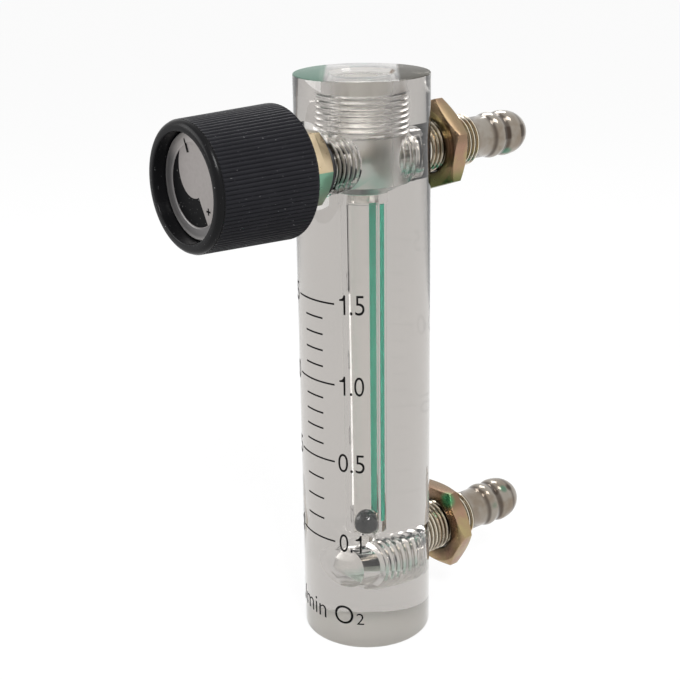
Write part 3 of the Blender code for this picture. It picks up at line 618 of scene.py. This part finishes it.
def glowing_highlight_line():
    """A painted highlight that glows: the bright line below the grey one."""
    finish = Finish("glowing_highlight_line", (0.9, 0.9, 0.9), 0.3, Emission_Strength=1.1)
    streak = finish.noise(160, 3, 0.6).between(0.3, 0.6)
    finish.feed("Emission Color", finish.mix(streak, (0.75, 0.74, 0.72), (1.0, 1.0, 0.99)))
    return finish.material


FINISHES = {
    "clear_acrylic": clear_acrylic(),
    "bored_acrylic": bored_acrylic(),
    "sawn_acrylic": sawn_acrylic(),
    "plug_acrylic": plug_acrylic(),
    "nickel_plate": nickel_plate(),
    "yellow_zinc": yellow_zinc(),
    "turned_brass": turned_brass(),
    "bright_steel": bright_steel(),
    "black_rubber": black_rubber(),
    "clear_rubber": clear_rubber(),
    "soft_polymer": soft_polymer(),
    "black_plastic": black_plastic(),
    "label_metal": label_metal(),
    "printing_ink": printing_ink(),
    "teal_stripe": teal_stripe(),
    "grey_line": grey_line(),
    "glowing_highlight_line": glowing_highlight_line(),
}


def coat(piece, finish):
    """Gives a piece one finish all over."""
    piece.data.materials.clear()
    piece.data.materials.append(FINISHES[finish])


def dress(piece, finish, degrees=32):
    """Gives a piece one finish and smooth shading."""
    coat(piece, finish)
    smooth(piece, degrees)


def settle(piece, body, nodes=()):
    """Gives a finished piece its body, and hides the solids it stands for."""
    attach(piece, body)
    if nodes:
        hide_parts(*nodes)


def tapped(start, end):
    """The outline of a tapped hole's turns."""
    return thread(start, end, HOLE_CREST, HOLE_ROOT)


def column():
    """The clear rod with its drilled and tapped passages."""
    top = COLUMN_HEIGHT
    low_edge, top_edge = 0.4, 0.25
    rod = turned(
        "column_rod",
        [(0, 0), (COLUMN_RADIUS - low_edge, 0)]
        + curve(COLUMN_RADIUS - low_edge, low_edge, low_edge, -90, 0, 3)
        + curve(COLUMN_RADIUS - top_edge, top - top_edge, top_edge, 0, 90, 3)
        + [(0, top)],
        224,
    )
    coat(rod, "clear_acrylic")
    rod.data.materials.append(FINISHES["sawn_acrylic"])
    for face in rod.data.polygons:
        if face.center.z < 0.05 * MM:
            face.material_index = 1
    gas_way, stop_seat, bore_end = 1.2, 3.1, 86.6
    upright = turned(
        "upright_bore",
        [(0, LOWER_PORT), (gas_way, LOWER_PORT), (gas_way, 20.9), (2.481, 21.67)]
        + [(2.831, bore_end), (stop_seat, bore_end), (stop_seat, 88.5), (CHAMBER_RADIUS, 90.0)]
        + thread(98.6, 106.6, CHAMBER_RADIUS - 0.05, CHAMBER_RADIUS + 0.22)
        + [(CHAMBER_RADIUS, 107.0), (CHAMBER_RADIUS, top - 0.7), (CHAMBER_RADIUS + 1.2, top + 0.5)]
        + [(0, top + 0.5)],
    )
    # The side ports' outlines run outwards from the column's axis and end past its side
    outside, ring_seat, clear_of_nut = 14.0, 6.4, 8.0
    valve = turned(
        "valve_port",
        [(0, 4.2), (HOLE_CREST, 4.2)]
        + tapped(4.3, 10.3)
        + [(HOLE_CREST, 10.5), (ring_seat, 10.5), (ring_seat, SPOT_FACE)]
        + [(clear_of_nut, SPOT_FACE), (clear_of_nut, outside), (0, outside)],
    )
    place(valve, FRONT, UPPER_PORT)
    mouth = [
        (SEAL_POCKET_RADIUS, 11.9), (HOLE_CREST, 12.1), (HOLE_CREST + 2.0, outside), (0, outside),
    ]
    outlet = turned(
        "outlet_port",
        [(0, 2.4), (HOLE_CREST, 2.4)]
        + tapped(2.4, 5.4)
        + [(HOLE_CREST, 6.1), (SEAL_POCKET_RADIUS, 6.25)]
        + mouth,
    )
    place(outlet, BACK, UPPER_PORT)
    drill = 4.25
    inlet = turned(
        "inlet_port",
        [(0, -6.55), (drill, -4.0), (drill, -0.9), (HOLE_CREST, -0.6)]
        + tapped(-0.6, 8.5)
        + [(HOLE_CREST, 9.0), (SEAL_POCKET_RADIUS, 9.2)]
        + mouth,
    )
    place(inlet, BACK, LOWER_PORT)
    for passage in (upright, valve, outlet, inlet):
        coat(passage, "bored_acrylic")
        combine(rod, passage, "DIFFERENCE")
    smooth(rod, 28)
    settle(rod, "column", ["clear_column"])


def plug():
    """The threaded plug in the column's top, with a hexagon socket."""
    body = turned(
        "threaded_plug",
        [(0, 99.8), (PLUG_RADIUS - 0.5, 99.8), (PLUG_RADIUS - 0.2, 100.1)]
        + thread(100.2, 106.2, PLUG_RADIUS - 0.3, PLUG_RADIUS)
        + [(PLUG_RADIUS, 106.8)]
        + curve(PLUG_RADIUS - 0.4, 108.8, 0.4, 0, 90, 3)
        + [(0, 109.2)],
    )
    socket = hexagon("plug_socket", 6.0, 105.7, COLUMN_HEIGHT, 0)
    combine(body, socket, "DIFFERENCE")
    dress(body, "plug_acrylic")
    settle(body, "column", ["top_plug"])


def ridge(centre):
    """The rounded outline of one ridge of a hose barb."""
    crest, half, steps = 4.48, 1.85, 12
    points = []
    for k in range(steps + 1):
        share = -1 + 2 * k / steps
        swell = 0.5 + 0.5 * math.cos(math.pi * share)
        radius = BARB_NECK + (crest - BARB_NECK) * swell**0.8
        points.append((radius, centre + half * share))
    return points


def barb(node, height, seal_start, seat_pocket):
    """A hose barb: port thread, sealing groove, neck, two ridges and a rounded mouth."""
    inner_end, groove, gas_way, pocket, pocket_end = 5.0, 3.2, 1.8, 2.9, 8.3
    outline = (
        [(PORT_CREST - 0.5, inner_end), (PORT_ROOT, 5.2)]
        + thread(5.2, seal_start - 0.1, PORT_ROOT, PORT_CREST)
        + [(groove, seal_start), (groove, 11.95), (PORT_ROOT, 12.0)]
        + thread(12.0, 25.1, PORT_ROOT, PORT_CREST)
        + [(PORT_ROOT, 25.2), (BARB_NECK, 26.0), (BARB_NECK, 29.6)]
        + ridge(31.55)
        + ridge(35.1)[1:8]
        + [(4.43, 35.9), (4.27, 36.9), (4.02, 37.7), (3.68, 38.4), (3.25, 39.05), (2.8, 39.55)]
        + [(2.4, 39.9), (2.1, 40.05), (1.9, 40.05), (gas_way, 39.9), (gas_way, pocket_end)]
    )
    if seat_pocket:
        outline += [(pocket, pocket_end), (pocket, inner_end)]
    else:
        outline += [(gas_way, inner_end)]
    outline.append(outline[0])
    body = turned(node + "_turned", outline)
    place(body, BACK, height)
    dress(body, "nickel_plate")
    settle(body, "column", [node])


def bonnet_ring():
    """The sealing ring under the valve's hexagon."""
    deselect()
    bpy.ops.mesh.primitive_torus_add(
        major_segments=96,
        minor_segments=24,
        major_radius=5.7 * MM,
        minor_radius=0.5 * MM,
        location=(0, 0, 11.15 * MM),
    )
    piece = bpy.context.object
    piece.name = "bonnet_seal"
    bpy.ops.object.transform_apply(location=True, rotation=True, scale=True)
    place(piece, FRONT, UPPER_PORT)
    dress(piece, "black_rubber", 60)
    settle(piece, "column", ["bonnet_o_ring"])


def pressed_ring(name, node, height, start, finish):
    """A sealing ring pressed out against its port's wall."""
    inner, outer, end, corner = 3.25, 5.0, 11.85, 0.5
    outline = (
        curve(outer - corner, end - corner, corner, 0, 90, 4)
        + curve(inner + corner, end - corner, corner, 90, 180, 4)
        + curve(inner + corner, start + corner, corner, 180, 270, 4)
        + curve(outer - corner, start + corner, corner, 270, 360, 4)
    )
    piece = turned(name, outline + outline[:1], 112)
    place(piece, BACK, height)
    dress(piece, finish, 60)
    settle(piece, "column", [node])


def chamfer(flat):
    """A hexagon's corner radius, and how far a 30 degree chamfer on it runs down its edges."""
    corner = flat / math.cos(math.pi / 6)
    return corner, (corner - flat) * math.tan(math.radians(30))


def panel_nut(name, node, from_column, height, turn):
    """A thin hexagon nut, chamfered both sides."""
    start = 12.5 + from_column
    end = start + 3.2
    flat, mouth, hole = 8.0, 5.75, 5.16
    corner, drop = chamfer(flat)
    nut = hexagon(name, flat * 2, start, end, math.radians(turn))
    envelope = turned(
        "nut_envelope",
        [(mouth, start - 0.2), (flat - 0.2, start - 0.05), (corner + 0.2, start + drop + 0.1)]
        + [(corner + 0.2, end - drop - 0.1), (flat - 0.2, end + 0.05), (mouth, end + 0.2)]
        + [(hole, end - 0.35), (hole, start + 0.35), (mouth, start - 0.2)],
        144,
    )
    combine(nut, envelope, "INTERSECT")
    place(nut, BACK, height)
    rounded(nut, 0.12, 3)
    dress(nut, "yellow_zinc", 40)
    settle(nut, "column", [node])


def bonnet():
    """The valve's brass body: port thread, hexagon and boss."""
    start, end = 11.8, 16.4
    flat, core = 6.5, 3.4
    corner, drop = chamfer(flat)
    nut = hexagon("valve_hexagon", flat * 2, start, end, math.radians(32))
    envelope = turned(
        "hexagon_envelope",
        [(core, start), (flat - 0.1, start), (corner + 0.2, start + drop + 0.2)]
        + [(corner + 0.2, end - drop - 0.1), (flat - 0.2, end), (core, end), (core, start)],
        144,
    )
    combine(nut, envelope, "INTERSECT")
    rounded(nut, 0.08, 2)
    inner_end, stem_hole, land_hole, ring_hole = 4.5, 2.5, 3.0, 3.9
    body = turned(
        "valve_body",
        [(stem_hole, inner_end), (PORT_CREST - 0.5, inner_end), (PORT_ROOT, 4.75)]
        + thread(4.8, 9.8, PORT_ROOT, PORT_CREST)
        + [(PORT_ROOT, 10.0), (PORT_ROOT, 16.0), (4.7, 16.2)]
        + curve(4.4, 17.6, 0.3, 0, 90, 3)
        + [(ring_hole, 17.9), (ring_hole, 16.0), (land_hole, 16.0), (land_hole, 9.75)]
        + [(stem_hole, 9.75), (stem_hole, inner_end)],
    )
    deselect()
    for part in (nut, body):
        part.select_set(True)
    bpy.context.view_layer.objects.active = body
    bpy.ops.object.join()
    place(body, FRONT, UPPER_PORT)
    dress(body, "turned_brass")
    settle(body, "column", ["valve_bonnet"])


def retainer():
    """The ring that keeps the stem in the boss, chamfered on its outer end."""
    inner, outer, start, end = 2.25, 3.7, 16.3, 17.9
    ring = turned(
        "gland_ring",
        [(inner, start), (outer, start), (outer, end - 0.15), (outer - 0.15, end)]
        + [(inner + 0.1, end), (inner, end - 0.15), (inner, start)],
        96,
    )
    place(ring, FRONT, UPPER_PORT)
    dress(ring, "turned_brass")
    settle(ring, "column", ["stem_retainer"])


def stem():
    """The needle, its thread, the sealing land and the neck that carries the knob."""
    needle, land, groove, neck, end = 1.3, 2.8, 1.55, 2.0, 33.4
    body = turned(
        "needle_stem",
        [(0, -6.2), (0.4, -6.2), (needle, -3.6), (needle, 3.7)]
        + thread(4.2, 9.45, 2.1, 2.3, 0.75)
        + [(land, 10.05), (land, 11.05), (groove, 11.1), (groove, 12.65), (land, 12.7)]
        + [(land, 13.75), (neck, 13.8), (neck, end - 0.2), (neck - 0.2, end), (0, end)],
        96,
    )
    place(body, FRONT, UPPER_PORT)
    dress(body, "turned_brass")
    settle(body, "control", ["valve_stem"])


def knob_radius(along):
    """The tapered knob's radius at a distance from the column's axis."""
    share = (along - KNOB_REAR) / (KNOB_FRONT - KNOB_REAR)
    return KNOB_REAR_RADIUS + (KNOB_FRONT_RADIUS - KNOB_REAR_RADIUS) * share


def knob():
    """The ribbed knob: skirt, rim, label recess, hollow back and hub."""
    rear, front = KNOB_REAR, KNOB_FRONT
    shoulder, rim = 0.9, 1.05
    ribs_start, ribs_end = rear + shoulder, front - 1.35
    hub_hole, hub, hub_end = 3.45, 4.95, 20.5
    # From the hub's hole round the hub, along the hollow back and out to the skirt's rear edge
    outline = [(0, 33.7), (hub_hole, 33.7), (hub_hole, hub_end + 0.1), (hub_hole + 0.15, hub_end)]
    outline += [(hub - 0.15, hub_end), (hub, hub_end + 0.15), (hub, 32.9)]
    outline += curve(5.75, 32.9, 0.8, 180, 90, 3)
    outline += curve(8.5, 32.9, 0.8, 90, 0, 3)
    outline += [(10.1, rear + 0.35), (10.25, rear + 0.05)]
    # Along the side, over the rim and into the label's recess
    outline += curve(knob_radius(ribs_start) - shoulder, ribs_start, shoulder, -88, 0, 6)
    for k in range(1, 12):
        along = ribs_start + (ribs_end - ribs_start) * k / 12
        outline.append((knob_radius(along), along))
    outline += [(knob_radius(ribs_end), ribs_end), (knob_radius(ribs_end) - 0.02, ribs_end + 0.3)]
    outline += curve(knob_radius(front) - rim - 0.05, front - rim, rim, 0, 78, 7)
    outline += curve(9.72, front - 0.22, 0.22, 90, 180, 4)
    outline += [(9.5, 35.45), (9.35, 35.3), (0, 35.3)]
    steps = RIBS * STEPS_PER_RIB
    body = turned("ribbed_knob", outline, steps)
    choose(body)
    bpy.ops.object.mode_set(mode="EDIT")
    bpy.ops.mesh.select_all(action="DESELECT")
    bpy.ops.object.mode_set(mode="OBJECT")
    # The grooves between the ribs: the middle step of each goes in fully, its neighbours half
    middle_radius = 11.8
    grooves = {2: 0.5, 3: 1.0, 4: 0.5}
    for depth in (0.5, 1.0):
        for vertex in body.data.vertices:
            x, y, z = (c / MM for c in vertex.co)
            on_side = math.hypot(x, y) > 10.6 and ribs_start - 0.75 < z < ribs_end + 0.02
            phase = round(math.atan2(y, x) / math.tau * steps) % STEPS_PER_RIB
            vertex.select = on_side and grooves.get(phase) == depth
        bpy.ops.object.mode_set(mode="EDIT")
        scale = 1 - RIB_DEPTH * depth / middle_radius
        bpy.ops.transform.resize(value=(scale, scale, 1), center_override=(0, 0, 0))
        bpy.ops.mesh.select_all(action="DESELECT")
        bpy.ops.object.mode_set(mode="OBJECT")
    place(body, FRONT, UPPER_PORT)
    deselect()
    bpy.ops.mesh.primitive_cylinder_add(
        vertices=48, radius=1.7 * MM, depth=14 * MM, rotation=(0, FRONT, 0),
        location=(-9.5 * MM, -25.5 * MM, UPPER_PORT * MM),
    )
    hole = bpy.context.object
    hole.name = "screw_hole"
    bpy.ops.object.transform_apply(location=True, rotation=True, scale=True)
    combine(body, hole, "DIFFERENCE")
    dress(body, "black_plastic", 40)
    settle(body, "control", ["knob"])


def label():
    """The silver disc in the knob's recess, with a raised bevelled border."""
    back, face, edge = 35.6, 35.92, 9.3
    disc = turned(
        "silver_label",
        [(0, back), (edge, back), (edge, 35.95), (9.1, 36.1), (7.35, 36.02), (7.2, face)]
        + [(0, face)],
        160,
    )
    place(disc, FRONT, UPPER_PORT)
    dress(disc, "label_metal", 20)
    settle(disc, "control", ["knob_label"])
    # Each mark's middle is given by its radius and its angle clockwise from the top
    for name, radius, angle, turn, long, wide, thick in (
        ("start_mark", 6.95, 342, -3, 2.4, 0.32, 0.2),
        ("more_mark_across", 5.4, 134, -134, 1.2, 0.3, 0.08),
        ("more_mark_along", 5.4, 134, -44, 1.2, 0.3, 0.08),
    ):
        deselect()
        bpy.ops.mesh.primitive_cube_add(size=MM, location=(0, 0, 0))
        mark = bpy.context.object
        mark.name = name
        mark.scale = (wide, thick, long)
        mark.rotation_euler = (0, math.radians(angle + turn), 0)
        heading = math.radians(angle)
        mark.location = (
            radius * math.sin(heading) * MM,
            -(face - 0.04 + thick / 2) * MM,
            (UPPER_PORT + radius * math.cos(heading)) * MM,
        )
        bpy.ops.object.transform_apply(location=True, rotation=True, scale=True)
        coat(mark, "printing_ink")
        settle(mark, "control")


def ball():
    """The steel ball, where the solid's one rests."""
    deselect()
    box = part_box("float_ball")
    bpy.ops.mesh.primitive_uv_sphere_add(
        segments=64,
        ring_count=32,
        radius=BALL_DIAMETER / 2 * MM,
        location=(box[0] + box[1]) / 2,
    )
    piece = bpy.context.object
    piece.name = "steel_float"
    bpy.ops.object.transform_apply(location=True, rotation=True, scale=True)
    dress(piece, "bright_steel", 60)
    settle(piece, "float", ["float_ball"])


def wrap(piece, wide, start, height):
    """Bends flat printing, drawn in X and Z about the origin, to the column's side."""
    choose(piece)
    step = piece.modifiers.new("bend", "SIMPLE_DEFORM")
    step.deform_method = "BEND"
    step.deform_axis = "Z"
    step.angle = wide / PRINT_RADIUS
    bpy.ops.object.modifier_apply(modifier=step.name)
    piece.location = (0, -PRINT_RADIUS * MM, 0)
    bpy.ops.object.transform_apply(location=True, rotation=True, scale=True)
    place(piece, 0, height, math.radians(start + lean(height)) + wide / PRINT_RADIUS / 2)
    coat(piece, "printing_ink")
    settle(piece, "column")


def lean(height):
    """How far the printing strays to the right, in degrees: it leans a little towards its top."""
    return max(0.0, height - PRINT_LEAN_FROM) * PRINT_LEAN


def degrees_of(width):
    """The angle that a width takes on the column's side."""
    return math.degrees(width / PRINT_RADIUS)


def divided(piece):
    """Cuts a flat form's faces small enough to bend."""
    choose(piece)
    bpy.ops.object.mode_set(mode="EDIT")
    bpy.ops.mesh.select_all(action="SELECT")
    bpy.ops.mesh.quads_convert_to_tris()
    bpy.ops.mesh.subdivide(number_cuts=2)
    bpy.ops.object.mode_set(mode="OBJECT")


def words(name, text, tall, wide, start, height):
    """Printed characters on the column's side: their height, width and left end in degrees."""
    # Set at one size, a little thinner than the font, and then scaled
    size, depth, thinning = 10.0, 0.01, 0.06
    deselect()
    bpy.ops.object.text_add(location=(0, 0, 0), rotation=(FRONT, 0, 0))
    piece = bpy.context.object
    piece.name = name
    piece.data.body = text
    piece.data.size = size * MM
    piece.data.extrude = depth * MM
    piece.data.offset = -thinning * MM
    bpy.ops.object.convert(target="MESH")
    piece = bpy.context.object
    bpy.ops.object.transform_apply(location=True, rotation=True, scale=True)
    piece.scale = (wide * MM / piece.dimensions.x, 1, tall * MM / piece.dimensions.z)
    bpy.ops.object.transform_apply(location=True, rotation=True, scale=True)
    bpy.ops.object.origin_set(type="ORIGIN_GEOMETRY", center="BOUNDS")
    piece.location = (0, 0, 0)
    divided(piece)
    wrap(piece, wide, start, height)


def figure_one(name, start, height):
    """The figure 1: an upright with a short hooked flag."""
    tall, wide, thick = NUMBER_HEIGHT, FIGURE_ONE_WIDTH, 0.02
    left = 0.69 * wide
    outline = (
        (0, 0.70 * tall), (0, 0.78 * tall), (0.36 * wide, 0.81 * tall), (0.6 * wide, 0.88 * tall),
        (0.72 * wide, tall), (wide, tall), (wide, 0), (left, 0), (left, 0.70 * tall),
    )
    deselect()
    bpy.ops.mesh.primitive_plane_add(size=MM, location=(0, 0, 0))
    piece = bpy.context.object
    piece.name = name
    bpy.ops.object.mode_set(mode="EDIT")
    bpy.ops.mesh.select_all(action="SELECT")
    bpy.ops.mesh.merge(type="CENTER")
    across, up = outline[0]
    bpy.ops.transform.translate(value=((across - wide / 2) * MM, 0, (up - tall / 2) * MM))
    for next_across, next_up in outline[1:]:
        step = ((next_across - across) * MM, 0, (next_up - up) * MM)
        bpy.ops.mesh.extrude_region_move(TRANSFORM_OT_translate={"value": step})
        across, up = next_across, next_up
    bpy.ops.mesh.select_all(action="SELECT")
    bpy.ops.mesh.edge_face_add()
    bpy.ops.mesh.extrude_region_move(TRANSFORM_OT_translate={"value": (0, -thick * MM, 0)})
    bpy.ops.mesh.select_all(action="SELECT")
    bpy.ops.mesh.normals_make_consistent(inside=False)
    bpy.ops.object.mode_set(mode="OBJECT")
    divided(piece)
    wrap(piece, wide, start, height)


def numeral(name, number, wide, start, height):
    """A number of the scale, with its own figure 1 before or after the other characters."""
    tall, after_one, before_one, last_one = NUMBER_HEIGHT, 1.96, 2.6, 1.15
    if number.startswith("1"):
        figure_one(name + "_one", start, height)
        words(name, number[1:], tall, wide - after_one, start + degrees_of(after_one), height)
    elif number.endswith("1"):
        words(name, number[:-1], tall, before_one, start, height)
        figure_one(name + "_one", start + degrees_of(wide - last_one), height)
    else:
        words(name, number, tall, wide, start, height)


def tick(name, half_sweep, height):
    """A graduation line round part of the column."""
    thick, half_line = 0.02, 0.17
    inner, outer = PRINT_RADIUS, PRINT_RADIUS + thick
    low, high = height - half_line, height + half_line
    line = turned(
        name,
        [(inner, low), (outer, low), (outer, high), (inner, high), (inner, low)],
        max(8, int(half_sweep)),
        2 * half_sweep,
    )
    place(line, 0, 0, math.radians(-90 + half_sweep + lean(height)))
    coat(line, "printing_ink")
    settle(line, "column")


def scale():
    """The printed flow scale on the front: long and short lines, numbers and the unit."""
    # Each number with its height, its width, its left end and the short lines below it
    marks = (
        ("1.5", 69.9, 4.63, 26.9, 4),
        ("1.0", 54.3, 4.63, 26.9, 4),
        ("0.5", 38.9, 5.05, 25.6, 3),
        ("0.1", 22.3, 4.35, 26.6, 0),
    )
    for k, (number, height, wide, start, _) in enumerate(marks):
        tick(f"line_{k}", 22.3, height)
        numeral(f"number_right_{k}", number, wide, start, height)
        numeral(f"number_left_{k}", number, wide, -start - degrees_of(wide), height)
    for k, (mark, next_mark) in enumerate(zip(marks, marks[1:])):
        upper, lower, lines = mark[1], next_mark[1], mark[4]
        for step in range(1, lines + 1):
            height = upper + (lower - upper) * step / (lines + 1)
            tick(f"line_{k}_{step}", 10.6, height)
    words("unit_words", "L/min O", 3.9, 17.2, -40.4, 6.9)
    words("unit_two", "2", 2.4, 1.5, 41.4, 6.3)


def stripes():
    """The long lines down the bore's wall: two teal, and a grey one over a glowing painted
    highlight.

    Each one's sides are angles round the column from its right side.
    """
    low, low_radius, taper = 27.0, 2.47, (2.79 - 2.47) / 59.0
    high, thick = 86.5, 0.06
    for name, first, last, bottom, top, finish in (
        ("bore_stripe_far", 61, 111, 24.5, high, "teal_stripe"),
        ("bore_stripe_near", 12, 32, 24.0, high, "teal_stripe"),
        ("bore_line_grey", -87.5, -84.5, 70.2, high, "grey_line"),
        # The last strip glows as a painted highlight on the bore's wall
        ("bore_glowing_highlight", -85.0, -82.2, 27.5, 69.8, "glowing_highlight_line"),
    ):
        foot, head = (low_radius + taper * (level - low) for level in (bottom, top))
        strip = turned(
            name,
            [(foot, bottom), (foot + thick, bottom), (head + thick, top), (head, top)]
            + [(foot, bottom)],
            24,
            last - first,
        )
        place(strip, 0, 0, math.radians(last))
        dress(strip, finish, 40)
        settle(strip, "column")


def carried_over():
    """Finishes for the solids that keep their own shape."""
    for node, finish in (
        ("float_stop", "plug_acrylic"),
        ("valve_seat", "soft_polymer"),
        ("stem_o_ring", "black_rubber"),
        ("knob_bush", "turned_brass"),
        ("knob_set_screw", "bright_steel"),
    ):
        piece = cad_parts[node]
        for slot in piece.material_slots:
            slot.material = FINISHES[finish]


def floor():
    """A pale floor just under the column, evenly white where it is seen."""
    deselect()
    bpy.ops.mesh.primitive_plane_add(size=6, location=(0, 0, -0.02 * MM))
    ground = bpy.context.object
    ground.name = "studio_floor"
    finish = Finish("pale_floor", (0.9, 0.9, 0.9), 0.9)
    seen = [finish.node("ShaderNodeLightPath", {}, {}, ray) for ray in SEEN_RAYS]
    evenness = 0.9
    share = (seen[0] + seen[1] + seen[2]) * evenness
    glow = finish.node("ShaderNodeEmission", {}, {"Color": WHITE, "Strength": 1.0})
    lit = Value(finish, finish.shader.outputs[0])
    both = finish.node("ShaderNodeMixShader", {}, {0: share, 1: lit, 2: glow})
    output = finish.tree.nodes["Material Output"]
    finish.tree.links.new(both.socket, output.inputs["Surface"])
    ground.data.materials.append(finish.material)


def surroundings():
    """A white world that lights the part a little less than it shows."""
    world = bpy.data.worlds.new("studio")
    world.use_nodes = True
    bpy.context.scene.world = world
    tree = world.node_tree
    background = tree.nodes["Background"]
    background.inputs["Color"].default_value = WHITE
    path = tree.nodes.new("ShaderNodeLightPath")
    first = tree.nodes.new("ShaderNodeMath")
    first.operation = "MAXIMUM"
    second = tree.nodes.new("ShaderNodeMath")
    second.operation = "MAXIMUM"
    level = tree.nodes.new("ShaderNodeMapRange")
    lighting, shown = 0.62, 1.0
    level.inputs["To Min"].default_value = lighting
    level.inputs["To Max"].default_value = shown
    camera_ray, glossy_ray, transmission_ray = (path.outputs[ray] for ray in SEEN_RAYS)
    tree.links.new(camera_ray, first.inputs[0])
    tree.links.new(glossy_ray, first.inputs[1])
    tree.links.new(first.outputs[0], second.inputs[0])
    tree.links.new(transmission_ray, second.inputs[1])
    tree.links.new(second.outputs[0], level.inputs["Value"])
    tree.links.new(level.outputs["Result"], background.inputs["Strength"])


def lamp(name, spot, side, power):
    """A square lamp, aimed at the middle of the column: its place and side are in metres."""
    middle = Vector((0, 0, 0.06))
    deselect()
    bpy.ops.object.light_add(type="AREA", location=spot)
    light = bpy.context.object
    light.name = name
    light.data.shape = "RECTANGLE"
    light.data.size = side
    light.data.size_y = side
    light.data.energy = power
    light.rotation_euler = (middle - Vector(spot)).to_track_quat("-Z", "Y").to_euler()


def camera():
    """The viewpoint, fitted to the photo: its place is in metres and its turns in degrees."""
    spot, turns = (0.185322, -0.148884, 0.143288), (73.43371, 0.895161, 52.027585)
    focal_length, sensor, drop = 69.9887, 36.0, 0.1
    deselect()
    bpy.ops.object.camera_add(location=spot)
    lens = bpy.context.object
    lens.name = "viewpoint"
    lens.rotation_euler = tuple(math.radians(a) for a in turns)
    lens.data.lens = focal_length
    lens.data.sensor_width = sensor
    lens.data.shift_y = -drop
    lens.data.clip_start = 0.01
    bpy.context.scene.camera = lens


camera()
surroundings()
lamp("key_light", (0.30, -0.10, 0.42), 0.14, 2.2)
lamp("back_light", (0.12, 0.20, 0.52), 0.15, 0.31)
lamp("low_back_light", (-0.225, 0.238, 0.343), 0.16, 0.36)
lamp("fill_light", (-0.25, -0.35, 0.25), 0.3, 1.2)
floor()

column()
plug()
barb("outlet_barb", UPPER_PORT, 6.3, True)
barb("inlet_barb", LOWER_PORT, 9.35, False)
pressed_ring("outlet_seal", "outlet_o_ring", UPPER_PORT, 6.35, "black_rubber")
pressed_ring("inlet_seal", "inlet_o_ring", LOWER_PORT, 9.45, "clear_rubber")
bonnet_ring()
panel_nut("outlet_nut", "outlet_panel_nut", 3.0, UPPER_PORT, 10.5)
panel_nut("inlet_nut", "inlet_panel_nut", 5.1, LOWER_PORT, 28.5)
bonnet()
retainer()
stem()
knob()
label()
ball()
scale()
stripes()
carried_over()

bpy.context.scene.view_settings.view_transform = "Standard"
